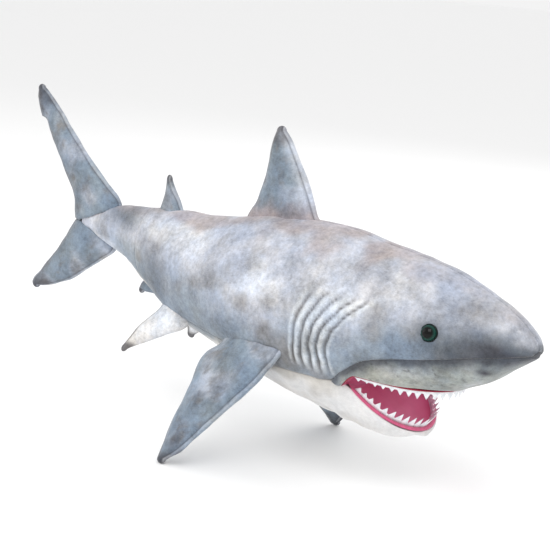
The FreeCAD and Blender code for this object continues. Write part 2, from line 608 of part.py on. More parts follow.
def build():
    outer, inner, core = body_form(0.0), body_form(FABRIC), body_form(FABRIC + FILL_CLEARANCE)
    skin = outer.cut(inner)
    grey, gills, muzzle = grey_zone(), gill_zone(), muzzle_zone()
    trunk_zone = ahead_of(TAIL_BEND_AT, TAIL_BEND)
    stalk_zone = behind(TAIL_BEND_AT, TAIL_BEND).common(ahead_of(CAUDAL_SWING_AT, CAUDAL_SWING))
    point_zone = behind(CAUDAL_SWING_AT, CAUDAL_SWING)
    pieces = {}

    trunk_skin = skin.common(trunk_zone).cut(mouth_gap(0.0))
    trunk_grey = trunk_skin.common(grey)
    raised = body_form(-GILL_PLEAT).cut(outer)
    for side, name in ((-1, "right"), (1, "left")):
        half = slab(side)
        flank_skin = trunk_grey.common(half)
        pieces["side_panel_" + name] = one_solid(flank_skin.cut(gills).cut(stem_hole(side)))
        pieces["gill_panel_" + name] = one_solid(flank_skin.common(gills))
        folds = raised.common(gills.common(grey).common(half))
        pleats = [one_solid(folds.common(strip)) for strip in gill_pleats()]
        pieces["gill_pleats_" + name] = Part.Compound(pleats)
        pieces["tail_panel_" + name] = one_solid(skin.common(stalk_zone).common(grey).common(half))
        pieces["eye_" + name] = eye(side)
        pieces["eye_washer_" + name] = eye_washer(side)
    pale = trunk_skin.cut(grey)
    pieces["muzzle_panel"] = one_solid(pale.common(muzzle))
    pieces["belly_panel"] = one_solid(pale.cut(muzzle))
    pieces["tail_belly_panel"] = one_solid(skin.common(stalk_zone).cut(grey))

    roof = palate_form(0.0)
    hollow = palate_form(LINING)
    gum_zone = mouth_gap(GUM).cut(mouth_gap(0.0)).common(muzzle)
    pieces["upper_gum"] = one_solid(core.common(gum_zone).common(trunk_zone).cut(roof))
    pieces["palate_lining"] = one_solid(roof.cut(hollow).cut(mouth_gap(0.0)))
    pieces["upper_teeth"] = upper_teeth()
    head = core.common(trunk_zone).cut(mouth_gap(GUM + FILL_CLEARANCE)).cut(palate_form(-FILL_CLEARANCE))
    for side in (-1, 1):
        head = head.cut(eye_pocket(side))
    pieces["body_filling"] = one_solid(head)
    pieces["tail_filling"] = one_solid(core.common(stalk_zone))

    ahead = prism_y([(HINGE.x + SEAM_CLEARANCE, -FAR), (FAR, -FAR), (FAR, FAR),
                     (HINGE.x + SEAM_CLEARANCE, FAR)], -FAR, FAR)
    under_lip = jaw_form(0.0).common(ahead).cut(over_lip(0.0))
    pieces["jaw_panel"] = one_solid(under_lip.cut(jaw_form(FABRIC)))
    pieces["lower_lip"] = lip_band()
    scoop = jaw_form(JAW_LIP).common(ahead).common(over_lip(-FLOOR_DEPTH)).cut(over_lip(0.0))
    pieces["mouth_floor_lining"] = one_solid(scoop.cut(jaw_form(JAW_LIP + LINING)
                                                       .common(over_lip(LINING - FLOOR_DEPTH))))
    filled = jaw_form(FABRIC + FILL_CLEARANCE).common(ahead).cut(over_lip(-FILL_CLEARANCE))
    pieces["jaw_filling"] = one_solid(filled.cut(jaw_form(JAW_LIP - FILL_CLEARANCE)
                                                 .common(over_lip(-FLOOR_DEPTH - FILL_CLEARANCE))))
    pieces["lower_teeth"] = lower_teeth()

    pieces["tail_point_panel"] = one_solid(skin.common(point_zone))
    pieces["tail_point_filling"] = one_solid(core.common(point_zone))
    pieces.update(fin_pieces("upper_lobe", tail_lobe(UPPER_LOBE, 1), "right", "left"))
    pieces.update(fin_pieces("lower_lobe", tail_lobe(LOWER_LOBE, -1), "left", "right"))
    pieces.update(fin_pieces("dorsal_fin", back_fin(DORSAL_ROOT, DORSAL, 1), "right", "left"))
    small_fin = back_fin(SECOND_DORSAL_ROOT, SECOND_DORSAL, 1)
    pieces.update(fin_pieces("second_dorsal", small_fin, "right", "left"))
    pieces.update(fin_pieces("anal_fin", back_fin(ANAL_ROOT, ANAL, -1), "left", "right"))
    for side, name, plus, minus in ((-1, "right", "under", "top"), (1, "left", "top", "under")):
        pieces.update(fin_pieces("pectoral_" + name, pectoral(side), plus, minus))
        pelvic = side_fin(PELVIC_ROOT, PELVIC_SWEEP, PELVIC, side)
        pieces.update(fin_pieces("pelvic_" + name, pelvic, plus, minus))
    return pieces


def main():
    pieces = build()
    low, high = [], []
    for shape in pieces.values():
        box = shape.optimalBoundingBox(False, False)
        low.append((box.XMin, box.ZMin))
        high.append(box.XMax)
    shift = Vector(-(min(x for x, z in low) + max(high)) / 2, 0, -min(z for x, z in low))
    os.makedirs("parts", exist_ok=True)
    for name, shape in pieces.items():
        placed = shape.copy()
        placed.translate(shift)
        placed.exportStep("parts/" + name + ".step")
    print("moved to the bottom centre by", [round(v, 3) for v in shift])


main()
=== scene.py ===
"""Looks of the plush great shark: printed plush panels, padded fins, felt teeth, glossy eyes.

All places are in metres in the frame's axes: nose to +X, the shark's left to +Y, up +Z.
Shares of the body are percent of its length from the tail point, and of its depth from the keel.
"""
import json
import math

import bpy
import numpy as np
from mathutils import Matrix, Vector, noise


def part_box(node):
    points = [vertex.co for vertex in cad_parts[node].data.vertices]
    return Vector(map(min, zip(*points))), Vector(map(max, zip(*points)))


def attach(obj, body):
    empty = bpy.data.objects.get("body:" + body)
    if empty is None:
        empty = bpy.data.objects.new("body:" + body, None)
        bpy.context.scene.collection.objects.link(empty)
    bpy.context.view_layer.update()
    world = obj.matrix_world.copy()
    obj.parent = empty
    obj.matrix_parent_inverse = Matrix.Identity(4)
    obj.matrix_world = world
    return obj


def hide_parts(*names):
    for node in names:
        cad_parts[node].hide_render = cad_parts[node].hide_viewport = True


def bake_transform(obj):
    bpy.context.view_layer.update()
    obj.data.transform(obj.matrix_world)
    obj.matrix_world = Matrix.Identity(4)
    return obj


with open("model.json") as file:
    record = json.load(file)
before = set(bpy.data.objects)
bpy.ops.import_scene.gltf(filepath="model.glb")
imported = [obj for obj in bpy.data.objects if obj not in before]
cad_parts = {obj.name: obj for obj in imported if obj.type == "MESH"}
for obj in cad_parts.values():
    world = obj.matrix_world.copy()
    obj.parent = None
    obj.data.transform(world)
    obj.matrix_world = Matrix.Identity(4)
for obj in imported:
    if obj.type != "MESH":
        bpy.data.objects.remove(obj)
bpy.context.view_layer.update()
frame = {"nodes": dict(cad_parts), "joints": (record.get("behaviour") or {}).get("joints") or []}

bpy.ops.object.select_all(action="DESELECT")

MM = 0.001
JOINTS = {joint["name"]: joint for joint in frame["joints"]}


def pivot(joint):
    return Vector(JOINTS[joint]["pos_m"])


# ---- the body's size, from the frame ------------------------------------------------------------
TAIL_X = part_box("tail_point_panel")[0].x
NOSE_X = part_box("muzzle_panel")[1].x
KEEL_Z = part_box("belly_panel")[0].z
BODY_LENGTH = NOSE_X - TAIL_X
BODY_DEPTH = (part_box("side_panel_right")[1].z - KEEL_Z) / 0.99
HALF_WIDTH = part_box("side_panel_left")[1].y
HINGE = pivot("jaw_open")

# percent along, top, bottom, half width, level of the widest point
PROFILE = [
    (0.0, 70.8, 64.3, 5.4, 67.6), (10.3, 83.0, 54.6, 20.3, 69.2), (20.1, 85.9, 38.4, 39.2, 63.2),
    (26.9, 87.6, 27.0, 53.4, 60.0), (34.3, 89.0, 21.6, 69.0, 57.3), (48.3, 97.0, 11.9, 91.2, 53.0),
    (61.7, 99.0, 3.8, 100.0, 50.3), (71.3, 95.0, 0.0, 93.2, 50.3), (80.9, 91.3, 18.5, 82.4, 51.6),
    (88.8, 84.4, 32.4, 64.5, 53.0), (93.2, 78.8, 38.8, 51.0, 54.3), (96.0, 74.0, 45.6, 39.5, 56.0),
    (98.4, 69.0, 51.4, 29.0, 58.2), (99.5, 66.2, 53.8, 21.5, 58.8), (100.0, 64.4, 55.2, 15.5, 59.0),
]
BACK_ROUNDNESS = 1.8
BELLY_ROUNDNESS = 2.2
END_CAP = 3.0 * MM           # how far the rounded nose and tail point stand out
# lower edge of the printed side panels: over the white belly, round the mouth's corner, to the nose
PANEL_LINE = [(-6.0, 60.0), (14.0, 52.0), (27.0, 32.0), (41.0, 29.7), (62.0, 26.0), (69.2, 27.0),
              (71.5, 33.0), (76.2, 42.5), (87.0, 49.5), (95.0, 54.5), (104.0, 58.0)]
MOUTH_RISE = 12.0 * MM       # the upper lip's edge over the mouth's corner
MOUTH_RISE_RUN = 16.0 * MM
CORNER_DIP = 3.0 * MM        # the muzzle's rear end overlaps the jaw's corner by this much
FRONT_DIP = 3.5 * MM         # the upper lip hangs this much lower at its front
PALATE_DEPTH = 20.0 * MM
JAW_LENGTH = 73.0 * MM
JAW_HALF_WIDTH = 53.0 * MM
JAW_DEPTH = 50.0 * MM
JAW_FRONT_DEPTH = 7.0 * MM
JAW_DROOP = math.radians(33.6)
LINING_EDGE = 3.5 * MM       # the lining starts this far inside the lower lip
LINING_BACK = 1.0 * MM       # and turns down into the throat this far ahead of the hinge
LINING_POINTS = 41           # across the mouth
FLOOR_DEPTH = 9.0 * MM

CLOTH = 1.2 * MM             # thickness of a plush panel
SEAM_ROLL = 1.3 * MM         # how far a panel's edge turns in at a seam


def percent(x):
    return (x - TAIL_X) / BODY_LENGTH * 100.0


def along(share):
    return TAIL_X + BODY_LENGTH * share / 100.0


def level(share):
    return KEEL_Z + BODY_DEPTH * share / 100.0


def smooth(rows, column, at):
    """One column's value by monotone cubic interpolation over the first, for numbers and arrays."""
    table = np.array(rows, float)
    xs, ys = table[:, 0], table[:, column]
    at = np.clip(at, xs[0], xs[-1])
    slopes = np.diff(ys) / np.diff(xs)
    a, b = slopes[:-1], slopes[1:]
    same_way = a * b > 0
    inner = np.where(same_way, 2.0 * a * b / np.where(same_way, a + b, 1.0), 0.0)
    tangents = np.concatenate([slopes[:1], inner, slopes[-1:]])
    i = np.clip(np.searchsorted(xs, at, side="right") - 1, 0, len(xs) - 2)
    step = xs[i + 1] - xs[i]
    t = (at - xs[i]) / step
    return (ys[i] * (1 + 2 * t) * (1 - t) ** 2 + tangents[i] * step * t * (1 - t) ** 2
            + ys[i + 1] * t * t * (3 - 2 * t) + tangents[i + 1] * step * t * t * (t - 1))


def ease(value, low, high):
    """0 at low, 1 at high, smooth between, for numbers and arrays."""
    t = np.clip((value - low) / (high - low), 0.0, 1.0)
    return t * t * (3.0 - 2.0 * t)


def body_at(x):
    """Top, bottom, half width and widest level of the body at x."""
    top, bottom, width, widest = (smooth(PROFILE, column, percent(x)) for column in (1, 2, 3, 4))
    return level(top), level(bottom), HALF_WIDTH * width / 100.0, level(widest)


def turn_at(x, z):
    """Angle round the section, from the side, where the skin is at height z."""
    top, bottom, _, widest = body_at(x)
    reach, power = (top - widest, BACK_ROUNDNESS) if z > widest else (widest - bottom, BELLY_ROUNDNESS)
    share = min(max((z - widest) / reach, -1.0), 1.0)
    return math.copysign(math.asin(abs(share) ** (power / 2)), share)


def skin_points(x, turns, side):
    """Points of the body's skin at x, at angles round its section."""
    top, bottom, width, widest = body_at(x)
    over = max(x - NOSE_X, TAIL_X - x, 0.0)
    shrink = math.sqrt(max(0.0, 1.0 - (over / END_CAP) ** 2))
    c, s = np.cos(turns), np.sin(turns)
    power = np.where(s > 0, 2 / BACK_ROUNDNESS, 2 / BELLY_ROUNDNESS)
    reach = np.where(s > 0, top - widest, widest - bottom)
    y = side * width * np.abs(c) ** power * shrink
    z = widest + reach * np.sign(s) * np.abs(s) ** power * shrink
    return np.stack([np.full(len(turns), float(x)), y, z], 1)


def panel_line(x):
    """Height of the side panels' lower edge."""
    return level(smooth(PANEL_LINE, 1, percent(x)))


def flank(x, z):
    """Half width of the body at a point of its length and height."""
    return abs(skin_points(x, np.array([turn_at(x, z)]), 1)[0][1])


def seam_marks(length, rows):
    """Distances of a row of points along a panel, with close ones by its two seams."""
    edge = 2.6 * SEAM_ROLL
    if length < 4 * edge:
        return np.linspace(0, length, rows + 1)
    inner = np.linspace(edge, length - edge, rows - 3)
    return np.concatenate([[0, SEAM_ROLL], inner, [length - SEAM_ROLL, length]])


def spaced(points, rows):
    """The same line through points spaced for a panel with a seam at each end."""
    runs = np.linalg.norm(np.diff(points, axis=0), axis=1)
    reached = np.concatenate([[0], np.cumsum(runs)])
    marks = seam_marks(reached[-1], rows)
    return np.stack([np.interp(marks, reached, points[:, k]) for k in range(3)], 1)


def stations(start, end, steps):
    """Places along the body from start to end; steps are (up to x, spacing)."""
    places = [start]
    for limit, spacing in steps:
        stop = min(limit, end)
        run = stop - places[-1]
        if run > spacing / 2:
            count = max(1, round(run / spacing))
            places += list(np.linspace(places[-1], stop, count + 1)[1:])
    return places


# ---- folds and soft lumps -----------------------------------------------------------------------
GILL_AT = (65.6, 74.6)
GILLS = 5
GILL_HEIGHT = 3.2 * MM
# forward and up from the rearmost slit's top, then the step from slit to slit
GILL_LINE = [((0, 0), (10, -4.5)), ((-17, -40), (9, -3)), ((-15, -79), (11.5, -3))]
EYE_AT = (85.7, 62.2)
EYE_FACES = Vector((0.22, 0.94, 0.25)).normalized()
EYE_RADIUS = 7.8 * MM
EYE_STANDS = 5.0 * MM
EYE_RIM = 0.9 * MM


def gill_number(x, z):
    """Which gill slit a point is at, counted from the rearmost, with fractions between two."""
    def slit_x(number):
        line = [(along(GILL_AT[0]) + (at[0] + step[0] * number) * MM,
                 level(GILL_AT[1]) + (at[1] + step[1] * number) * MM) for at, step in GILL_LINE]
        heights = [p[1] for p in reversed(line)]
        bow = np.polyfit(heights, [p[0] for p in reversed(line)], 2)
        return np.polyval(bow, np.clip(z, heights[0] - 0.01, heights[2] + 0.01)), heights
    first, heights = slit_x(0)
    last, _ = slit_x(GILLS - 1)
    number = (x - first) / (last - first) * (GILLS - 1)
    fade = ease(z, heights[0] - 6 * MM, heights[0] + 8 * MM) * (1 - ease(z, heights[2] - 16 * MM,
                                                                       heights[2] + 2 * MM))
    inside = ease(number, -0.8, -0.25) * (1 - ease(number, GILLS - 0.75, GILLS - 0.2))
    return number, fade * inside


def gill_phase(points):
    """Where each point is between two slits, from 0 to 1, and how deep the pleat is there."""
    wander = lumps(points, 16 * MM, 5) * 1.6 * MM + lumps(points, 7 * MM, 6) * 0.8 * MM
    number, strength = gill_number(points[:, 0] + wander, points[:, 2])
    strength = strength * (1 + 0.45 * lumps(points, 20 * MM, 7))
    return number - np.floor(number), strength


def gill_fold(points):
    """How far the pleats lift the skin: a rounded ridge behind each slit, a sharp crease at it."""
    phase, strength = gill_phase(points)
    ridge = np.sin(np.pi * phase) ** 0.7
    lean = 0.7 + 0.3 * phase
    return GILL_HEIGHT * (ridge * lean - 0.35) * strength


def lumps(points, size, seed):
    """Soft noise from -1 to 1 at each point, for lumps about that size."""
    offset = Vector((seed * 7.3, seed * 3.1, seed * 5.7))
    return np.array([noise.noise(Vector(p) / size + offset) for p in points])


def folds(points, normals):
    """How far the filling, the creases and the gill pleats lift the skin at each point."""
    x, _, z = points.T
    lift = lumps(points, 42 * MM, 1) * 1.5 * MM + lumps(points, 17 * MM, 2) * 0.5 * MM
    right_or_left = np.abs(normals[:, 1])
    lift += gill_fold(points) * ease(right_or_left, 0.1, 0.5)
    # slanting slack folds at the bend of the tail, and behind and under the mouth's corner
    tail = np.exp(-((x - along(24.0)) / (26 * MM)) ** 2)
    wave = np.sin((x + 0.45 * z) / (7.5 * MM) + 2.2 * lumps(points, 30 * MM, 3))
    lift += 1.1 * MM * tail * wave * ease(z, level(25), level(45))
    throat = np.exp(-((x - HINGE.x + 22 * MM) / (22 * MM)) ** 2) * (1 - ease(z, level(24), level(40)))
    wave = np.sin((x - 0.55 * z) / (5.6 * MM) + 1.8 * lumps(points, 26 * MM, 4))
    lift += 1.2 * MM * throat * wave
    # the eye is pulled in by its stem, with puckers round it
    for side in (-1, 1):
        at = eye_place(side)
        offset = points - np.array(at)
        away = np.linalg.norm(offset, axis=1)
        pull = np.exp(-(away / (12 * MM)) ** 2)
        spokes = np.cos(7 * np.arctan2(offset[:, 2], offset[:, 0]) + 0.6)
        lift -= pull * (2.0 + 0.5 * spokes) * MM
        brow = np.exp(-((offset[:, 2] - 11 * MM + 0.2 * offset[:, 0]) / (5 * MM)) ** 2)
        lift += 1.0 * MM * brow * np.exp(-(away / (19 * MM)) ** 2)
    return lift


def eye_place(side):
    x, z = along(EYE_AT[0]), level(EYE_AT[1])
    return Vector((x, side * flank(x, z), z))


# ---- meshes -------------------------------------------------------------------------------------
def new_piece(name, points, faces):
    mesh = bpy.data.meshes.new(name)
    mesh.from_pydata([tuple(p) for p in points], [], faces)
    mesh.update()
    piece = bpy.data.objects.new(name, mesh)
    bpy.context.scene.collection.objects.link(piece)
    return piece


def edit(piece, *steps):
    """Runs edit-mode steps on all of a piece."""
    bpy.ops.object.select_all(action="DESELECT")
    piece.select_set(True)
    bpy.context.view_layer.objects.active = piece
    bpy.ops.object.mode_set(mode="EDIT")
    bpy.ops.mesh.select_all(action="SELECT")
    for step in steps:
        step()
    bpy.ops.object.mode_set(mode="OBJECT")


def weld():
    bpy.ops.mesh.remove_doubles(threshold=0.05 * MM)


def face_out():
    bpy.ops.mesh.normals_make_consistent(inside=False)


def flip():
    bpy.ops.mesh.flip_normals()


def apply_modifier(piece, kind, **values):
    bpy.ops.object.select_all(action="DESELECT")
    bpy.context.view_layer.objects.active = piece
    piece.select_set(True)
    modifier = piece.modifiers.new(kind.lower(), kind)
    for key, value in values.items():
        setattr(modifier, key, value)
    bpy.ops.object.modifier_apply(modifier=modifier.name)


def shade(piece):
    piece.data.shade_smooth()


def grid(name, rows, closed=False):
    """A sheet through rows of points that all have the same count."""
    count = len(rows[0])
    points = np.concatenate(rows)
    faces = []
    for i in range(len(rows) - 1):
        for j in range(count if closed else count - 1):
            k = (j + 1) % count
            faces.append((i * count + j, i * count + k, (i + 1) * count + k, (i + 1) * count + j))
    return new_piece(name, points, faces)


def vertex_arrays(piece):
    count = len(piece.data.vertices)
    points, normals = np.zeros(count * 3), np.zeros(count * 3)
    piece.data.vertices.foreach_get("co", points)
    piece.data.vertices.foreach_get("normal", normals)
    return points.reshape(-1, 3), normals.reshape(-1, 3)


def move_vertices(piece, points):
    piece.data.vertices.foreach_set("co", points.astype(np.float32).ravel())
    piece.data.update()


def turn_outwards(piece, inner):
    """Flips a sheet if its faces look towards the inner point of each of them."""
    sample = list(piece.data.polygons)[::17]
    total = sum((f.center - inner(f.center)).dot(f.normal) * f.area for f in sample)
    if total < 0:
        edit(piece, flip)


def body_core(point):
    return Vector((point.x - 0.001, 0.0, body_at(point.x)[3]))


def seam_depth(distance):
    """How far a panel's edge is pulled in, at a distance from its seam."""
    return SEAM_ROLL * np.exp(-(distance / (1.1 * SEAM_ROLL)) ** 2)


def skin_panel(name, rows, seams, inner=body_core, lift=folds):
    """A plush panel through rows of points; seams are the two ends of the rows that are sewn."""
    piece = grid(name, rows)
    turn_outwards(piece, inner)
    points, normals = vertex_arrays(piece)
    count = len(rows[0])
    flat = points.reshape(len(rows), count, 3)
    runs = np.linalg.norm(np.diff(flat, axis=1), axis=2)
    from_first = np.concatenate([np.zeros((len(rows), 1)), np.cumsum(runs, axis=1)], axis=1)
    from_last = from_first[:, -1:] - from_first
    depth = np.zeros_like(from_first)
    for sewn, distance in zip(seams, (from_first, from_last)):
        if sewn:
            depth = np.maximum(depth, seam_depth(distance))
    moved = points + normals * (lift(points, normals) - depth.ravel())[:, None]
    middle = np.abs(points[:, 1]) < 0.01 * MM
    moved[middle, 1] = 0.0
    move_vertices(piece, moved)
    edit(piece, weld)
    paint(piece)
    apply_modifier(piece, "SOLIDIFY", thickness=CLOTH, offset=-1.0)
    shade(piece)
    return piece


# ---- body panels --------------------------------------------------------------------------------
TAIL_CUT = along(18.0)       # across the stalk, behind the tail's bend
BELLY_CUT = along(54.0)      # across the belly, between the pectoral fins
BODY_STEPS = [(along(57), 3.6 * MM), (along(78), 1.5 * MM), (along(97), 2.6 * MM),
              (NOSE_X, 1.6 * MM), (NOSE_X + 1.0, 0.7 * MM)]
SIDE_ROWS = 56
BELLY_ROWS = 64
MUZZLE_ROWS = 26


def side_row(x, side):
    turns = np.linspace(math.pi / 2, turn_at(x, panel_line(x)), 60)
    return spaced(skin_points(x, turns, side), SIDE_ROWS)


def belly_row(x):
    lowest = -math.pi / 2
    turns = np.linspace(turn_at(x, panel_line(x)), lowest, 50)
    right = skin_points(x, turns, -1)
    left = skin_points(x, turns[::-1], 1)
    return spaced(np.concatenate([right, left[1:]]), BELLY_ROWS)


def lip_height(x):
    """Height of the upper lip's edge, which dips over the mouth's corner."""
    dip = CORNER_DIP * (1 - ease(x, HINGE.x - 4 * MM, HINGE.x + 7 * MM))
    dip = dip + FRONT_DIP * ease(x, HINGE.x + MOUTH_RISE_RUN, HINGE.x + 75 * MM)
    return HINGE.z + MOUTH_RISE * ease(x, HINGE.x - 2 * MM, HINGE.x + MOUTH_RISE_RUN) - dip


def muzzle_row(x):
    """From the right seam under the muzzle to the left one; the mouth's opening is left out."""
    bottom = body_at(x)[1]
    lowest = turn_at(x, lip_height(x)) if bottom < lip_height(x) and x < NOSE_X else -math.pi / 2
    turns = np.linspace(turn_at(x, panel_line(x)), lowest, 50)
    right = spaced(skin_points(x, turns, -1), MUZZLE_ROWS)
    left = right[::-1] * np.array([1, -1, 1])
    return right, left


def jaw_half_width(run):
    share = min(max(run / JAW_LENGTH, 0.0), 1.0)
    return JAW_HALF_WIDTH * (1.0 - share ** 2.6) ** 0.5


def lower_lip_height(x):
    return HINGE.z - max(0.0, x - HINGE.x) * math.tan(JAW_DROOP)


JAW_FRONT = JAW_LENGTH * math.cos(JAW_DROOP)


def jaw_row(x):
    """From the right lip under the chin to the left lip."""
    share = (x - HINGE.x) / JAW_FRONT
    width = jaw_half_width(share * JAW_LENGTH)
    lip = lower_lip_height(x)
    rise = max(0.0, share - 0.45) / 0.55
    bottom = min(HINGE.z - JAW_DEPTH + 8 * MM * rise ** 2, lip - JAW_FRONT_DEPTH)
    bottom += (lip - JAW_FRONT_DEPTH * 0.5 - bottom) * float(ease(share, 0.8, 1.0)) * 0.6
    turns = np.linspace(0, -math.pi, 80)
    power = 2 / 2.4
    y = -width * np.sign(np.cos(turns)) * np.abs(np.cos(turns)) ** power
    z = lip + (lip - bottom) * np.sign(np.sin(turns)) * np.abs(np.sin(turns)) ** power
    return spaced(np.stack([np.full(80, float(x)), y, z], 1), BELLY_ROWS)


def throat_row(x):
    """The belly's section, which turns into the jaw's round the mouth's corner."""
    start, end = HINGE.x - 18 * MM, HINGE.x + 12 * MM
    share = float(ease(x, start, end))
    if share >= 1.0:
        return jaw_row(x)
    row = belly_row(x) if x < HINGE.x else None
    if share <= 0.0:
        return row
    if row is None:
        turns = np.linspace(turn_at(x, HINGE.z), -math.pi / 2, 50)
        right = skin_points(x, turns, -1)
        row = spaced(np.concatenate([right, right[::-1][1:] * np.array([1, -1, 1])]), BELLY_ROWS)
    target = jaw_row(max(x, HINGE.x))
    target[:, 0] = x
    return row * (1 - share) + target * share


def make_body():
    pieces = {}
    front = stations(TAIL_CUT, NOSE_X + END_CAP, BODY_STEPS)
    rear = stations(TAIL_X - END_CAP, TAIL_CUT, [(TAIL_X, 0.7 * MM), (TAIL_CUT, 3.0 * MM)])
    for side, name in ((-1, "right"), (1, "left")):
        rows = [side_row(x, side) for x in front]
        pieces["side_" + name] = skin_panel("plush_side_" + name, rows, (True, True))
        rows = [side_row(x, side) for x in rear]
        pieces["stalk_" + name] = skin_panel("plush_stalk_" + name, rows, (True, True))
    middle = stations(TAIL_CUT, BELLY_CUT, [(BELLY_CUT, 3.6 * MM)])
    pieces["belly"] = skin_panel("plush_belly", [belly_row(x) for x in middle], (True, True))
    pieces["stalk_belly"] = skin_panel("plush_stalk_belly", [belly_row(x) for x in rear], (True, True))
    lip_front = upper_lip_front()
    ahead = stations(HINGE.x - 10 * MM, NOSE_X + END_CAP,
                     [(lip_front - 12 * MM, 2.0 * MM), (lip_front, 0.5 * MM), (along(97), 2.6 * MM),
                      (NOSE_X, 1.6 * MM), (NOSE_X + 1.0, 0.7 * MM)])
    halves = [muzzle_row(x) for x in ahead]
    pieces["muzzle"] = muzzle_panel(halves)
    steps = [(HINGE.x - 30 * MM, 3.6 * MM), (HINGE.x + JAW_FRONT * 0.8, 1.8 * MM),
             (HINGE.x + JAW_FRONT * 0.95, 0.9 * MM), (HINGE.x + JAW_FRONT, 0.35 * MM)]
    rows = [throat_row(x) for x in stations(BELLY_CUT, HINGE.x + JAW_FRONT, steps)]
    pieces["throat"] = skin_panel("plush_throat_and_jaw", rows, (True, True), jaw_core)
    return pieces


def jaw_core(point):
    if point.x < HINGE.x:
        return body_core(point)
    return Vector((min(point.x, HINGE.x + 40 * MM), 0.0, lower_lip_height(point.x) - 4 * MM))


def upper_lip_front():
    """Where the upper lip's edge crosses the mirror plane."""
    x = np.arange(HINGE.x + MOUTH_RISE_RUN, NOSE_X, 0.1 * MM)
    return float(x[np.argmax(body_at(x)[1] > lip_height(x))])


def muzzle_panel(halves):
    """Both halves of the muzzle, joined under the nose."""
    right = grid("plush_muzzle", [half[0] for half in halves])
    left = grid("muzzle_left", [half[1] for half in halves])
    for half in (right, left):
        turn_outwards(half, body_core)
    bpy.ops.object.select_all(action="DESELECT")
    left.select_set(True)
    right.select_set(True)
    bpy.context.view_layer.objects.active = right
    bpy.ops.object.join()
    edit(right, weld)
    points, normals = vertex_arrays(right)
    x, z = points[:, 0], points[:, 2]
    seam = np.abs(z - panel_line(x))
    lip = np.where(x < upper_lip_front(), np.abs(z - lip_height(x)), 1.0)
    depth = np.maximum(seam_depth(seam), seam_depth(lip))
    # the rear end tucks in round the mouth's corner
    tuck = 1.5 * MM * (1 - ease(x, HINGE.x - 10 * MM, HINGE.x - 6 * MM))
    moved = points + normals * (folds(points, normals) - depth - tuck)[:, None]
    move_vertices(right, moved)
    paint(right)
    apply_modifier(right, "SOLIDIFY", thickness=CLOTH, offset=-1.0)
    shade(right)
    return right


# ---- mouth --------------------------------------------------------------------------------------
def lip_edge(inset, count):
    """The upper lip's edge from the right corner round the front to the left corner."""
    front = upper_lip_front() - inset
    right = []
    for k in range(count):
        turn = math.pi / 2 * k / (count - 1)
        x = HINGE.x + (front - HINGE.x) * math.sin(turn)
        z = lip_height(x)
        y = flank(x + inset * math.sin(turn), z) - inset * math.cos(turn) if k < count - 1 else 0.0
        right.append(Vector((x, -max(y, 0.0), z)))
    return right + [Vector((p.x, -p.y, p.z)) for p in reversed(right[:-1])]


def lower_edge(inset, lift, count, start=0.04):
    """The lower lip's edge from the right corner round the front to the left corner."""
    up = Vector((math.sin(JAW_DROOP), 0, math.cos(JAW_DROOP)))
    right = []
    for k in range(count):
        run = JAW_LENGTH * math.sin(math.pi / 2 * (start + (1 - start) * k / (count - 1)))
        y = max(jaw_half_width(run) - inset, 0.0) if k < count - 1 else 0.0
        run *= 1 - inset / JAW_LENGTH
        at = Vector((HINGE.x + run * math.cos(JAW_DROOP), -y, HINGE.z - run * math.sin(JAW_DROOP)))
        right.append(at + up * lift)
    return right + [Vector((p.x, -p.y, p.z)) for p in reversed(right[:-1])]


def even_line(points, count):
    """The same line through evenly spaced points."""
    array = np.array([tuple(p) for p in points])
    reached = np.concatenate([[0], np.cumsum(np.linalg.norm(np.diff(array, axis=0), axis=1))])
    marks = np.linspace(0, reached[-1], count)
    return [Vector([np.interp(m, reached, array[:, k]) for k in range(3)]) for m in marks]


def piping(name, line, width, height, up):
    """A soft rolled edge: an oval swept along a line, tapered at its ends."""
    rows = []
    for i, at in enumerate(line):
        before, after = line[max(i - 1, 0)], line[min(i + 1, len(line) - 1)]
        run = (after - before).normalized()
        across = run.cross(up).normalized()
        share = i / (len(line) - 1)
        swell = 0.25 + 0.75 * float(ease(min(share, 1 - share), 0.0, 0.06))
        swell *= 1 + 0.05 * noise.noise(at / (6 * MM))
        ring = []
        for k in range(12):
            turn = 2 * math.pi * k / 12
            ring.append(at + across * math.cos(turn) * width * swell + up * math.sin(turn) * height * swell)
        rows.append(np.array([tuple(p) for p in ring]))
    piece = grid(name, rows, closed=True)
    edit(piece, lambda: bpy.ops.mesh.select_all(action="DESELECT"),
         lambda: bpy.ops.mesh.select_non_manifold(), lambda: bpy.ops.mesh.edge_face_add(),
         lambda: bpy.ops.mesh.select_all(action="SELECT"), face_out)
    shade(piece)
    return piece


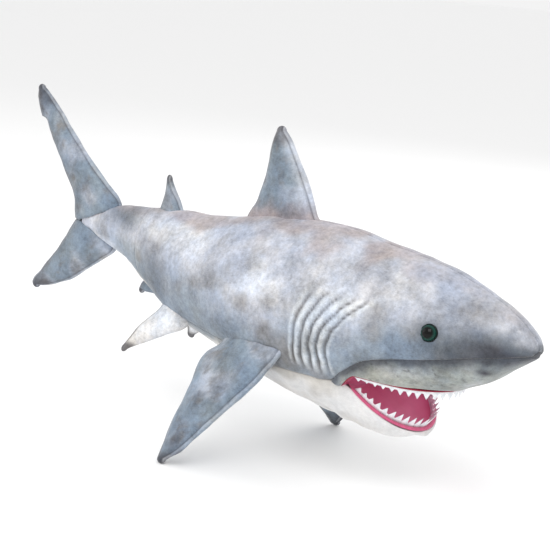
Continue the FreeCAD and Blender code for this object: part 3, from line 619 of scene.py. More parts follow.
def lining_rows():
    """Rows across the mouth: forward edge of the roof, back to the throat, forward along the floor."""
    rows = []
    up = Vector((math.sin(JAW_DROOP), 0, math.cos(JAW_DROOP)))
    across = np.sin(np.linspace(-math.pi / 2, math.pi / 2, LINING_POINTS))
    front, back = upper_lip_front() - 3 * MM, HINGE.x + LINING_BACK
    for k in range(34):
        x = front + (back - front) * math.sin(math.pi / 2 * k / 33)
        z = lip_height(x)
        width = max(flank(x + 2 * MM, z) - 3 * MM, 0.2 * MM)
        deep = PALATE_DEPTH * float(ease(front - x, 0, 22 * MM))
        dome = deep * (1 - np.abs(across) ** 3.5)
        rows.append(np.stack([np.full(LINING_POINTS, x), across * width, z + dome - 0.5 * MM], 1))
    roof, lip = rows[-1], jaw_half_width(0) - LINING_EDGE
    floor_z = HINGE.z - FLOOR_DEPTH * (1 - np.abs(across) ** 3.5)
    floor = np.stack([np.full(LINING_POINTS, HINGE.x + LINING_BACK), across * lip, floor_z], 1)
    for k in range(1, 10):
        share = k / 10
        bulge = 12 * MM * math.sin(math.pi * share) * (1 - np.abs(across) ** 2)
        row = roof * (1 - share) + floor * share
        row[:, 0] -= bulge
        rows.append(row)
    for k in range(30):
        run = LINING_BACK + (JAW_LENGTH - LINING_EDGE - LINING_BACK) * math.sin(math.pi / 2 * k / 29)
        width = max(jaw_half_width(run + LINING_EDGE * (run / JAW_LENGTH) ** 2) - LINING_EDGE, 0.2 * MM)
        deep = FLOOR_DEPTH * float(ease(JAW_LENGTH - LINING_EDGE - run, 0, 14 * MM))
        dish = deep * (1 - np.abs(across) ** 3.5)
        base = Vector((HINGE.x + run * math.cos(JAW_DROOP), 0, HINGE.z - run * math.sin(JAW_DROOP)))
        row = np.stack([base.x - up.x * dish, across * width, base.z - up.z * dish + 0.6 * MM], 1)
        rows.append(row)
    return rows


def mouth_core(point):
    return Vector((HINGE.x + 30 * MM, 0, HINGE.z))


def make_lining():
    piece = grid("mouth_lining", lining_rows())
    points, normals = vertex_arrays(piece)
    soft = lumps(points, 14 * MM, 8) * 0.9 * MM + lumps(points, 6 * MM, 9) * 0.35 * MM
    move_vertices(piece, points + normals * soft[:, None])
    edit(piece, weld)
    turn_outwards(piece, mouth_core)
    edit(piece, flip)
    apply_modifier(piece, "SOLIDIFY", thickness=0.8 * MM, offset=-1.0)
    shade(piece)
    return piece


GUM_PIPING = (2.2 * MM, 1.1 * MM)      # half width and half height of the rolled edges
LIP_PIPING = (2.3 * MM, 1.2 * MM)
TOOTH_BAND = (0.8 * MM, 2.6 * MM)
BAND_SUNK = 0.8 * MM                   # a tooth's base is this deep in its band
UPPER_TEETH = 26
LOWER_TEETH = 22
UPPER_TOOTH = 10.0 * MM
LOWER_TOOTH = 13.5 * MM


def felt_tooth():
    """One pointed felt tooth, base at the origin, point up, flat across Y, two units wide."""
    bpy.ops.object.select_all(action="DESELECT")
    bpy.ops.mesh.primitive_cone_add(vertices=12, radius1=1.0, radius2=0.04, depth=2.0,
                                    location=(0, 0, 1.0))
    bpy.ops.object.transform_apply(location=True)
    tooth = bpy.context.active_object
    edit(tooth, lambda: bpy.ops.transform.resize(value=(1, 0.3, 1)),
         lambda: bpy.ops.mesh.subdivide(number_cuts=2, smoothness=0.0))
    return tooth


def tooth_row(name, line, count, height, points_to, sizes):
    """Copies of the felt tooth along a line, joined into one sewn row."""
    pattern = felt_tooth()
    places = even_line(line, count * 2 + 1)
    copies = []
    for k in range(count):
        before, at, after = places[2 * k], places[2 * k + 1], places[2 * k + 2]
        run = after - before
        width = run.length * (0.60 + 0.10 * noise.noise(Vector((k * 3.1, 5.5, height * 500))))
        run.normalize()
        outwards = run.cross(points_to).normalized()
        share = 1.0 - abs(2.0 * (k + 0.5) / count - 1.0)
        tall = height * (sizes[0] + (sizes[1] - sizes[0]) * float(ease(share, 0.0, 0.8)))
        tall *= 1 + 0.16 * noise.noise(Vector((k * 1.7, height * 400, 3.1)))
        lean = 0.22 * noise.noise(Vector((k * 2.3, 9.1, height * 300)))
        tip = (points_to + outwards * 0.16 + run * lean).normalized()
        copy = pattern.copy()
        copy.data = pattern.data.copy()
        bpy.context.scene.collection.objects.link(copy)
        basis = Matrix((run * width, outwards * width, tip * tall / 2)).transposed().to_4x4()
        copy.data.transform(Matrix.Translation(at - points_to * BAND_SUNK) @ basis)
        copies.append(copy)
    bpy.data.objects.remove(pattern)
    copies.append(piping(name + "_band", even_line(line, 4 * count), *TOOTH_BAND, points_to))
    bpy.ops.object.select_all(action="DESELECT")
    for copy in copies:
        copy.select_set(True)
    bpy.context.view_layer.objects.active = copies[0]
    bpy.ops.object.join()
    row = bpy.context.active_object
    row.name = name
    edit(row, face_out)
    shade(row)
    return row


def make_mouth():
    pieces = {"lining": make_lining()}
    down = Vector((0, 0, -1))
    up = Vector((math.sin(JAW_DROOP), 0, math.cos(JAW_DROOP)))
    edge = even_line(lip_edge(3.2 * MM, 60), 140)
    pieces["gum"] = piping("upper_gum_piping", edge, *GUM_PIPING, down)
    line = [p for p in lip_edge(3.6 * MM, 60) if p.x > HINGE.x + MOUTH_RISE_RUN * 0.8]
    line = [p + down * 0.8 * MM for p in line]
    pieces["upper_teeth"] = tooth_row("upper_felt_teeth", line, UPPER_TEETH, UPPER_TOOTH, down, (0.5, 1.0))
    edge = even_line(lower_edge(2.6 * MM, 0.6 * MM, 60, 0.02), 130)
    pieces["lip"] = piping("lower_lip_piping", edge, *LIP_PIPING, up)
    line = lower_edge(5.2 * MM, 1.2 * MM, 60, 0.09)
    pieces["lower_teeth"] = tooth_row("lower_felt_teeth", line, LOWER_TEETH, LOWER_TOOTH, up, (0.5, 1.0))
    return pieces


# ---- eyes ---------------------------------------------------------------------------------------
def make_eye(side, name):
    """A glossy dome over a thin round rim, seated in the plush."""
    faces = Vector((EYE_FACES.x, side * EYE_FACES.y, EYE_FACES.z))
    at = eye_place(side) + faces * (EYE_STANDS - EYE_RADIUS)
    bpy.ops.object.select_all(action="DESELECT")
    bpy.ops.mesh.primitive_uv_sphere_add(segments=48, ring_count=28, radius=EYE_RADIUS)
    eye = bpy.context.active_object
    edit(eye, lambda: bpy.ops.mesh.bisect(plane_co=(0, 0, -0.5 * MM), plane_no=(0, 0, 1),
                                          clear_inner=True, use_fill=True),
         lambda: bpy.ops.mesh.select_all(action="SELECT"), face_out)
    bpy.ops.object.select_all(action="DESELECT")
    bpy.ops.mesh.primitive_torus_add(major_radius=EYE_RADIUS * 0.97, minor_radius=EYE_RIM,
                                     major_segments=48, minor_segments=10, location=(0, 0, 1.2 * MM))
    eye.select_set(True)
    bpy.context.view_layer.objects.active = eye
    bpy.ops.object.join()
    turn = Vector((0, 0, 1)).rotation_difference(faces).to_matrix().to_4x4()
    eye.data.transform(Matrix.Translation(at) @ turn)
    eye.name = name
    shade(eye)
    return eye, at, faces


# ---- fins ---------------------------------------------------------------------------------------
# rows are: distance out from the root, rear edge, front edge, half thickness, all in mm
DORSAL = [(-7, -4, 93, 9), (0, 0, 88, 9), (10, 9, 85, 10), (30, 20, 78, 10), (55, 29, 67, 8),
          (75, 35, 57, 5.6), (84, 39, 50, 3.2)]
SECOND_DORSAL = [(-6, -3, 34, 5), (0, 0, 31, 5), (9, 4, 27, 5), (19, 7, 20, 4), (29, 9, 15, 2.6)]
ANAL = [(-5, 0, 28, 4), (0, 0, 28, 4), (6, -1, 18, 3.6), (12, 0, 8, 2.4)]
PECTORAL = [(-9, 2, 90, 8), (0, 0, 88, 9), (12, -13, 82, 10), (24, -17, 77, 10), (45, -14, 63, 10),
            (70, -14, 46, 8), (96, -13, 29, 6), (113, -11, 17, 4.8), (125, -9, 3, 3.2)]
PELVIC = [(-9, 0, 48, 6), (0, 0, 47, 6), (14, -4, 34, 6), (35, -9, 15, 4.6), (56, -11, -3, 2.6)]
UPPER_LOBE = [(-4, 4, 74, 6), (0, 0, 76, 7), (23, 6, 63, 8), (48, 2, 48, 8), (75, -4, 34, 7),
              (100, -9, 22, 6), (116, -12, 15.5, 5), (120, -18, 13, 5), (142, -19, 1, 3.6),
              (150, -15, -5, 2.6)]
LOWER_LOBE = [(-4, 4, 68, 6), (0, 0, 70, 7), (20, -4, 57, 8), (42, -12, 40, 8), (64, -21, 22, 7),
              (83, -28, 0, 5), (93, -33, -15, 3.6), (97, -34, -23, 2.6)]
FIN_TIP = 5.0 * MM           # the tip's rounding
FIN_SEAM = 3.0 * MM          # the seam's line runs this far inside the edge
FIN_CROSS = 30               # points across one face


class Fin:
    """Where a fin is: its rear root corner, the way along its root, outwards and square to its face."""

    def __init__(self, rear, front, towards, forward=0.0):
        self.rear = rear
        self.chord = (front - rear).normalized()
        span = towards - rear
        span = (span - self.chord * span.dot(self.chord)).normalized()
        self.face = self.chord.cross(span).normalized()
        self.span = span + Vector((forward, 0, 0))


def fin_section(fin, rows, out):
    """Ring of points round a fin at a distance out from its root."""
    last = rows[-1][0] * MM
    over = max(out - last, 0.0)
    shrink = math.sqrt(max(0.0, 1.0 - (over / FIN_TIP) ** 2))
    trailing, leading, thick = (smooth(rows, k, out / MM) * MM for k in (1, 2, 3))
    half = (leading - trailing) / 2 * max(shrink, 0.02)
    middle = (leading + trailing) / 2
    edge = min(FIN_SEAM, half * 0.4)
    marks = np.concatenate([[0, edge * 0.25, edge * 0.6, edge, edge * 1.35],
                            np.linspace(edge * 1.9, half, FIN_CROSS // 2 - 4)])
    puff = np.sqrt(np.clip(1 - (1 - marks / half) ** 2.2, 0, 1))
    height = thick * shrink * puff
    groove = 0.7 * MM * np.exp(-((marks - edge) / (0.35 * edge)) ** 2) * (thick > 3 * MM)
    height = np.maximum(height - groove, 0)
    across = np.concatenate([marks - half, (half - marks)[::-1][1:]])
    up = np.concatenate([height, height[::-1][1:]])
    centre = fin.rear + fin.span * out
    face = [centre + fin.chord * (middle + a) + fin.face * h for a, h in zip(across, up)]
    back = [centre + fin.chord * (middle + a) - fin.face * h for a, h in zip(across, up)]
    return np.array([tuple(p) for p in face + back[::-1][1:-1]])


def make_fin(name, fin, rows, seed):
    last = rows[-1][0] * MM
    count = max(8, round((last - rows[0][0] * MM) / (3.2 * MM)))
    outs = list(np.linspace(rows[0][0] * MM, last, count))
    outs += [last + FIN_TIP * math.sin(math.pi / 2 * k / 6) for k in range(1, 7)]
    rings = [fin_section(fin, rows, out) for out in outs]
    piece = grid(name, rings, closed=True)
    edit(piece, lambda: bpy.ops.mesh.select_all(action="DESELECT"),
         lambda: bpy.ops.mesh.select_non_manifold(), lambda: bpy.ops.mesh.edge_face_add(),
         lambda: bpy.ops.mesh.select_all(action="SELECT"), weld, face_out)
    points, normals = vertex_arrays(piece)
    soft = lumps(points, 26 * MM, seed) * 1.1 * MM + lumps(points, 11 * MM, seed + 1) * 0.45 * MM
    out = (points - np.array(fin.rear)) @ np.array(fin.span)
    gather = np.sin((points @ np.array(fin.chord)) / (3.4 * MM) + 2 * lumps(points, 20 * MM, seed + 2))
    soft += 0.55 * MM * gather * np.exp(-(out / (11 * MM)) ** 2)
    move_vertices(piece, points + normals * soft[:, None])
    shade(piece)
    return piece


FIN_ROOT_GAP = 2.0 * MM
SIDE_ROOT_GAP = 5.0 * MM
DORSAL_ROOT = (40.6, 55.8)
SECOND_DORSAL_ROOT = (19.7, 25.2)
ANAL_ROOT = (16.8, 21.7)
PECTORAL_ROOT = ((44.6, 27.6), (60.0, 31.4))
PECTORAL_TIP_OUT = 125.0 * MM
PECTORAL_FORWARD = {-1: 0.0, 1: 0.25}
PELVIC_ROOT = ((25.4, 33.0), (33.4, 27.5))
PELVIC_SWEEP = Vector((-14.0, 26.0, 43.0)) * MM
LOBE_EDGE = 9.8              # percent along: the lobes' front corners
LOBE_NOTCH = 16.0 * MM
LOBE_ROOT_GAP = 1.0 * MM


def back_fin(root, upwards):
    ends = []
    for share in root:
        top, bottom, _, _ = body_at(along(share))
        ends.append(Vector((along(share), 0, top + FIN_ROOT_GAP if upwards > 0 else bottom - FIN_ROOT_GAP)))
    return Fin(ends[0], ends[1], ends[0] + Vector((0, 0, upwards)))


def side_fin(root, side, sweep, forward=0.0):
    ends = []
    for share, height in root:
        x, z = along(share), level(height)
        ends.append(Vector((x, side * (flank(x, z) + SIDE_ROOT_GAP), z)))
    return Fin(ends[0], ends[1], ends[0] + Vector((sweep[0], side * sweep[1], -sweep[2])), forward)


def tail_lobe(upwards):
    top, bottom, _, _ = body_at(along(LOBE_EDGE))
    end_top, end_bottom, _, _ = body_at(TAIL_X)
    notch = Vector((TAIL_X - LOBE_NOTCH, 0, (end_top + end_bottom) / 2 + upwards * LOBE_ROOT_GAP))
    edge = Vector((along(LOBE_EDGE), 0, (top if upwards > 0 else bottom) + upwards * LOBE_ROOT_GAP))
    return Fin(notch, edge, notch + Vector((0, 0, upwards)))


def make_fins():
    """Every fin as (piece, placement)."""
    fins = {}
    places = {
        "dorsal_fin": (back_fin(DORSAL_ROOT, 1), DORSAL),
        "second_dorsal": (back_fin(SECOND_DORSAL_ROOT, 1), SECOND_DORSAL),
        "anal_fin": (back_fin(ANAL_ROOT, -1), ANAL),
        "upper_lobe": (tail_lobe(1), UPPER_LOBE),
        "lower_lobe": (tail_lobe(-1), LOWER_LOBE),
    }
    x, z = along(PECTORAL_ROOT[0][0]), level(PECTORAL_ROOT[0][1])
    out = PECTORAL_TIP_OUT - flank(x, z) - SIDE_ROOT_GAP
    for side, name in ((-1, "right"), (1, "left")):
        fin = side_fin(PECTORAL_ROOT, side, (0, out, z), PECTORAL_FORWARD[side])
        places["pectoral_" + name] = (fin, PECTORAL)
        places["pelvic_" + name] = (side_fin(PELVIC_ROOT, side, PELVIC_SWEEP), PELVIC)
    for seed, (name, (fin, rows)) in enumerate(places.items()):
        piece = make_fin("padded_" + name, fin, rows, 20 + 3 * seed)
        paint(piece, name, fin, rows)
        fins[name] = (piece, fin)
    return fins


# ---- printed colours, painted shade and painted highlights --------------------------------------
def colour(red, green, blue):
    """A screen colour from 0 to 255 as linear light."""
    values = np.array([red, green, blue]) / 255.0
    return np.where(values <= 0.04045, values / 12.92, ((values + 0.055) / 1.055) ** 2.4)


LAVENDER = colour(184, 187, 196)
PALE = colour(214, 217, 223)
BLUE_GREY = colour(128, 141, 153)
BROWN_GREY = colour(128, 124, 120)
PINK_BROWN = colour(170, 156, 154)
SLATE = colour(94, 101, 109)
DARK = colour(62, 60, 66)
GREEN_GREY = colour(146, 150, 142)
# whiter still, a painted highlight for the gill pleats' ridges
GILL_RIDGE_HIGHLIGHT = colour(222, 226, 228)
OFF_WHITE = colour(226, 225, 224)
WARM_WHITE = colour(205, 200, 192)
SHADE_WHITE = colour(172, 167, 160)


def mix(base, other, weight):
    return base + (other - base) * np.clip(weight, 0, 1)[:, None]


def spot(points, at, size, seed):
    """A soft blot with a ragged edge round a share of the body (x, z)."""
    wander = 1 + 0.55 * lumps(points, 22 * MM, seed)
    dx = (points[:, 0] - along(at[0])) / (size[0] * MM)
    dz = (points[:, 2] - level(at[1])) / (size[1] * MM)
    return np.exp(-(dx * dx + dz * dz) * wander)


def side_paint(points):
    """The printed back and flanks, with painted shade at the tail's bend and in the gill creases, and
    painted highlights on the gill pleats' ridges.
    """
    x, _, z = points.T
    low = panel_line(x)
    height = (z - low) / (body_at(x)[0] - low)
    broad, middle = lumps(points, 60 * MM, 11), lumps(points, 24 * MM, 12)
    tint = np.tile(LAVENDER, (len(points), 1))
    tint = mix(tint, PALE, ease(broad + 0.5 * middle, -0.1, 0.55) * ease(height, 0.3, 0.6)
               * (1 - ease(height, 0.84, 1.0)) * 0.95)
    tint = mix(tint, BLUE_GREY, (1 - ease(height + 0.25 * broad, 0.1, 0.62)) * 0.9)
    tint = mix(tint, BROWN_GREY, ease(middle, 0.12, 0.6) * (1 - ease(height, 0.5, 0.9)) * 0.55)
    tint = mix(tint, PINK_BROWN, ease(height + 0.2 * middle, 0.86, 1.02) * 0.7)
    tint = mix(tint, SLATE, spot(points, (13, 78), (34, 12), 13) * 0.8)
    # a dark patch over the slack folds at the tail's bend: painted shade
    tint = mix(tint, SLATE, spot(points, (24, 52), (20, 34), 14) * 0.75)
    tint = mix(tint, PALE, spot(points, (67, 66), (34, 26), 15) * 0.75)
    tint = mix(tint, BROWN_GREY, spot(points, (61, 36), (30, 20), 16) * 0.8)
    tint = mix(tint, PALE, spot(points, (33, 70), (26, 18), 18) * 0.6)
    snout = ease(x, along(80), along(97))
    tint = mix(tint, LAVENDER * 0.92, ease(x, along(72), along(84)) * ease(height, 0.2, 0.7) * 0.75)
    tint = mix(tint, SLATE, snout * (1 - ease(height + 0.25 * middle, 0.35, 0.95)) * 0.9)
    tint = mix(tint, SLATE, spot(points, (89.5, 56), (16, 16), 19) * 0.55)
    tint = mix(tint, BROWN_GREY, spot(points, (91, 74), (20, 7), 20) * 0.5)
    low_down = 1 - ease(height + 0.3 * middle, 0.05, 0.4)
    tint = mix(tint, DARK, ease(x, along(84), along(96)) * low_down * 0.75)
    # whiter along the gill pleats' ridges: painted highlight
    phase, strength = gill_phase(points)
    tint = mix(tint, GILL_RIDGE_HIGHLIGHT, strength * np.sin(np.pi * phase) ** 2 * (0.75 + 0.4 * middle))
    # darker along the creases between the pleats: painted shade
    crease = np.exp(-(np.minimum(phase, 1 - phase) / 0.13) ** 2)
    tint = mix(tint, BROWN_GREY * 0.6, strength * crease * 0.8 * (1 - ease(height, 0.55, 0.8)))
    for side in (-1, 1):
        away = np.linalg.norm(points - np.array(eye_place(side)), axis=1)
        tint = mix(tint, SLATE, np.exp(-(away / (13 * MM)) ** 2) * 0.7)
    return tint


def white_paint(points):
    """The belly, throat and lower jaw."""
    x, _, z = points.T
    broad, middle = lumps(points, 38 * MM, 31), lumps(points, 12 * MM, 32)
    tint = np.tile(OFF_WHITE, (len(points), 1))
    tint = mix(tint, WARM_WHITE, ease(broad, -0.05, 0.5) * 0.8)
    line = np.where(x < HINGE.x, panel_line(x), 1.0)
    fringe = 1 - ease(line - z + middle * 6 * MM + broad * 8 * MM, 1 * MM, 9 * MM)
    tint = mix(tint, SHADE_WHITE, fringe * ease(x, along(20), along(34)) * 0.7)
    tint = mix(tint, BLUE_GREY, fringe * (1 - ease(x, along(40), along(52))) * 0.75)
    throat = np.exp(-((x - HINGE.x + 20 * MM) / (24 * MM)) ** 2)
    tint = mix(tint, SHADE_WHITE, throat * ease(middle, -0.1, 0.5) * 0.5)
    return tint


def muzzle_paint(points):
    """Dark mottling under the seam that fades to pale grey-green, with speckles and a nostril blot, and
    painted shade at the rear end round the mouth's corner.
    """
    x, y, z = points.T
    under = panel_line(x) - z
    broad, middle, fine = lumps(points, 30 * MM, 41), lumps(points, 9 * MM, 42), lumps(points, 4 * MM, 43)
    tint = np.tile(colour(156, 160, 155), (len(points), 1))
    tint = mix(tint, OFF_WHITE, ease(broad, 0.0, 0.6) * 0.45)
    tint = mix(tint, GREEN_GREY, ease(middle, 0.0, 0.5) * 0.6)
    tint = mix(tint, SLATE, (1 - ease(under + (middle + broad) * 5 * MM, 2 * MM, 16 * MM)) * 0.85)
    tint = mix(tint, DARK, (1 - ease(under + (middle + broad) * 4 * MM, 1 * MM, 9 * MM)) * 0.6)
    tint = mix(tint, DARK, ease(fine + 0.4 * middle, 0.42, 0.7) * 0.55)
    blot = spot(points, (94.2, 46.5), (6, 4), 44) * (np.abs(y) > 8 * MM)
    tint = mix(tint, DARK, blot)
    # darker towards the rear end, where it tucks in round the mouth's corner: painted shade
    return mix(tint, SLATE, (1 - ease(x + middle * 5 * MM, HINGE.x - 6 * MM, HINGE.x + 12 * MM)) * 0.55)


def fin_paint(points, name, fin, rows):
    """Blue-grey fins with dark edges and tips; white pelvic fins."""
    offset = points - np.array(fin.rear)
    length = rows[-1][0] * MM
    out = offset @ np.array(fin.span.normalized()) / length
    chord = offset @ np.array(fin.chord) - out * length * fin.span.dot(fin.chord)
    front = smooth(rows, 2, out * rows[-1][0]) * MM
    rear = smooth(rows, 1, out * rows[-1][0]) * MM
    edge = np.minimum(front - chord, chord - rear)
    broad, middle, fine = lumps(points, 34 * MM, 51), lumps(points, 13 * MM, 52), lumps(points, 5 * MM, 53)
    if name.startswith("pelvic"):
        tint = np.tile(OFF_WHITE, (len(points), 1))
        tint = mix(tint, WARM_WHITE, ease(broad, 0, 0.5) * 0.7)
        tint = mix(tint, BROWN_GREY * 0.5, (1 - ease(chord - rear + middle * 2 * MM, 1 * MM, 5 * MM)) * 0.8)
        return mix(tint, DARK, ease(out + 0.1 * middle, 0.82, 0.95) * 0.85)
    tint = np.tile(BLUE_GREY, (len(points), 1))
    tint = mix(tint, LAVENDER, ease(broad + 0.4 * middle, -0.15, 0.5) * 0.65)
    tint = mix(tint, SLATE, ease(middle + 0.3 * broad, 0.1, 0.55) * 0.55)
    tint = mix(tint, BROWN_GREY, ease(fine + middle, 0.25, 0.9) * 0.5)
    if name == "dorsal_fin":
        tint = mix(tint, PALE, (1 - ease(front - chord, 2 * MM, 16 * MM)) * 0.55)
        tint = mix(tint, PINK_BROWN, (1 - ease(out + 0.1 * middle, 0.0, 0.22)) * 0.8)
    if name in ("upper_lobe", "lower_lobe"):
        tint = mix(tint, SLATE, (1 - ease(chord - rear, 2 * MM, 18 * MM)) * 0.45)
    tint = mix(tint, DARK, ease(out + 0.12 * middle, 0.78, 1.0) * 0.8)
    tint = mix(tint, PALE, np.exp(-((edge - 1.2 * MM) / (1.3 * MM)) ** 2) * 0.35)
    return mix(tint, DARK, np.exp(-((edge - FIN_SEAM) / (0.9 * MM)) ** 2) * 0.55)


def paint(piece, name=None, fin=None, rows=None):
    """Stores the panel's print, and the painted shade and highlights put on some panels, as a colour on
    each vertex.
    """
    points, _ = vertex_arrays(piece)
    if fin is not None:
        tint = fin_paint(points, name, fin, rows)
    elif "muzzle" in piece.name:
        tint = muzzle_paint(points)
    elif "belly" in piece.name or "throat" in piece.name:
        tint = white_paint(points)
    else:
        tint = side_paint(points)
        low = panel_line(points[:, 0])
        rear = 1 - ease(points[:, 0], along(6), along(15))
        tint = mix(tint, PALE, rear * ease(low + 18 * MM - points[:, 2], 0, 8 * MM) * 0.8)
    layer = piece.data.color_attributes.new("print_and_painted_light", "FLOAT_COLOR", "POINT")
    values = np.ones((len(points), 4), np.float32)
    values[:, :3] = np.clip(tint, 0, 1)
    layer.data.foreach_set("color", values.ravel())


# ---- materials ----------------------------------------------------------------------------------
def add(tree, kind, **values):
    """A node with its properties and its inputs set by name."""
    made = tree.nodes.new(kind)
    for key, value in values.items():
        if hasattr(made, key):
            setattr(made, key, value)
        else:
            made.inputs[key.replace("_", " ")].default_value = value
    return made


def noise_node(tree, vector, scale, detail, roughness=0.5):
    made = add(tree, "ShaderNodeTexNoise")
    made.inputs["Scale"].default_value = scale
    made.inputs["Detail"].default_value = detail
    made.inputs["Roughness"].default_value = roughness
    tree.links.new(vector, made.inputs["Vector"])
    return made.outputs["Fac"]


def math_node(tree, operation, a, b):
    made = add(tree, "ShaderNodeMath", operation=operation)
    for socket, value in zip(made.inputs, (a, b)):
        if isinstance(value, (int, float)):
            socket.default_value = value
        else:
            tree.links.new(value, socket)
    return made.outputs[0]


def range_node(tree, value, low, high, to_low, to_high):
    made = add(tree, "ShaderNodeMapRange", clamp=True)
    for socket, number in zip(list(made.inputs)[1:5], (low, high, to_low, to_high)):
        socket.default_value = number
    tree.links.new(value, made.inputs[0])
    return made.outputs[0]


def plush_group():
    """Short pile: Shade is the print's fine mottling and painted sheen streaks along the pile, Height the
    fibres' relief.
    """
    tree = bpy.data.node_groups.new("short_pile", "ShaderNodeTree")
    tree.interface.new_socket("Vector", in_out="INPUT", socket_type="NodeSocketVector")
    mottling = tree.interface.new_socket("Mottling", in_out="INPUT", socket_type="NodeSocketFloat")
    mottling.default_value = 1.0
    tree.interface.new_socket("Shade", in_out="OUTPUT", socket_type="NodeSocketFloat")
    tree.interface.new_socket("Wash", in_out="OUTPUT", socket_type="NodeSocketFloat")
    tree.interface.new_socket("Height", in_out="OUTPUT", socket_type="NodeSocketFloat")
    start, end = add(tree, "NodeGroupInput"), add(tree, "NodeGroupOutput")
    vector = start.outputs["Vector"]
    cloudy = noise_node(tree, vector, 38.0, 6.0, 0.62)
    grain = noise_node(tree, vector, 230.0, 4.0, 0.6)
    stretch = add(tree, "ShaderNodeMapping")
    stretch.inputs["Scale"].default_value = (420.0, 1500.0, 1300.0)
    tree.links.new(vector, stretch.inputs["Vector"])
    fibre = noise_node(tree, stretch.outputs["Vector"], 1.0, 2.0)
    tuft = noise_node(tree, vector, 420.0, 3.0, 0.6)
    blot = range_node(tree, cloudy, 0.3, 0.72, -0.36, 0.26)
    fine = range_node(tree, grain, 0.3, 0.7, -0.16, 0.16)
    # the streaks along the pile lighten and darken the colour: painted sheen
    pile_and_sheen = range_node(tree, fibre, 0.25, 0.75, -0.12, 0.12)
    total = math_node(tree, "ADD", math_node(tree, "ADD", blot, fine), pile_and_sheen)
    scaled = math_node(tree, "MULTIPLY", total, start.outputs["Mottling"])
    tree.links.new(math_node(tree, "ADD", scaled, 1.0), end.inputs["Shade"])
    wash = noise_node(tree, vector, 22.0, 7.0, 0.68)
    tree.links.new(range_node(tree, wash, 0.36, 0.64, 0.0, 1.0), end.inputs["Wash"])
    relief = math_node(tree, "ADD", math_node(tree, "MULTIPLY", fibre, 0.6), tuft)
    tree.links.new(relief, end.inputs["Height"])
    return tree


PILE = plush_group()


def new_material(name):
    material = bpy.data.materials.new(name)
    material.use_nodes = True
    return material, material.node_tree, material.node_tree.nodes["Principled BSDF"]


def plush(name, tint=None, mottling=1.0, sheen=0.35, relief=0.55, wash=1.0):
    """Short-pile plush: a print from the piece's colours, which hold some painted shade and highlights, or
    one tint, mottled with painted sheen streaks along the pile, under a soft sheen.
    """
    material, tree, shader = new_material(name)
    place = add(tree, "ShaderNodeTexCoord")
    pile_and_sheen = add(tree, "ShaderNodeGroup")
    pile_and_sheen.node_tree = PILE
    pile_and_sheen.inputs["Mottling"].default_value = mottling
    tree.links.new(place.outputs["Object"], pile_and_sheen.inputs["Vector"])
    blend = add(tree, "ShaderNodeVectorMath", operation="SCALE")
    if tint is None:
        # the colours stored on the piece: its print with some painted shade and highlights
        printed = add(tree, "ShaderNodeAttribute", attribute_name="print_and_painted_light")
        washed = add(tree, "ShaderNodeMix", data_type="RGBA", blend_type="MULTIPLY")
        washed.inputs[0].default_value = wash
        hue = add(tree, "ShaderNodeMix", data_type="RGBA")
        tree.links.new(pile_and_sheen.outputs["Wash"], hue.inputs[0])
        hue.inputs[6].default_value = (1.03, 0.99, 0.94, 1.0)
        hue.inputs[7].default_value = (0.90, 0.96, 1.06, 1.0)
        tree.links.new(printed.outputs["Color"], washed.inputs[6])
        tree.links.new(hue.outputs[2], washed.inputs[7])
        tree.links.new(washed.outputs[2], blend.inputs[0])
    else:
        blend.inputs[0].default_value = tuple(tint)
    tree.links.new(pile_and_sheen.outputs["Shade"], blend.inputs["Scale"])
    tree.links.new(blend.outputs[0], shader.inputs["Base Color"])
    bump = add(tree, "ShaderNodeBump")
    bump.inputs["Strength"].default_value = relief
    bump.inputs["Distance"].default_value = 0.7 * MM
    tree.links.new(pile_and_sheen.outputs["Height"], bump.inputs["Height"])
    tree.links.new(bump.outputs["Normal"], shader.inputs["Normal"])
    shader.inputs["Roughness"].default_value = 0.88
    shader.inputs["Specular IOR Level"].default_value = 0.25
    shader.inputs["Sheen Weight"].default_value = sheen
    shader.inputs["Sheen Roughness"].default_value = 0.45
    return material


def lining_material(name, tint, deep):
    """Smooth knitted lining, with painted shade that darkens it towards the throat."""
    material, tree, shader = new_material(name)
    place = add(tree, "ShaderNodeTexCoord")
    split = add(tree, "ShaderNodeSeparateXYZ")
    tree.links.new(place.outputs["Object"], split.inputs[0])
    inwards = range_node(tree, split.outputs["X"], HINGE.x - 4 * MM, HINGE.x + 55 * MM, 1.0, 0.0)
    cloudy = noise_node(tree, place.outputs["Object"], 60.0, 4.0)
    shadow = math_node(tree, "ADD", inwards, range_node(tree, cloudy, 0.3, 0.7, -0.12, 0.12))
    blend = add(tree, "ShaderNodeMix", data_type="RGBA", clamp_factor=True)
    blend.inputs[6].default_value = (*tint, 1.0)
    blend.inputs[7].default_value = (*deep, 1.0)
    tree.links.new(shadow, blend.inputs[0])
    tree.links.new(blend.outputs[2], shader.inputs["Base Color"])
    knit = noise_node(tree, place.outputs["Object"], 900.0, 2.0)
    bump = add(tree, "ShaderNodeBump")
    bump.inputs["Strength"].default_value = 0.35
    bump.inputs["Distance"].default_value = 0.3 * MM
    tree.links.new(knit, bump.inputs["Height"])
    tree.links.new(bump.outputs["Normal"], shader.inputs["Normal"])
    shader.inputs["Roughness"].default_value = 0.62
    shader.inputs["Sheen Weight"].default_value = 0.2
    return material


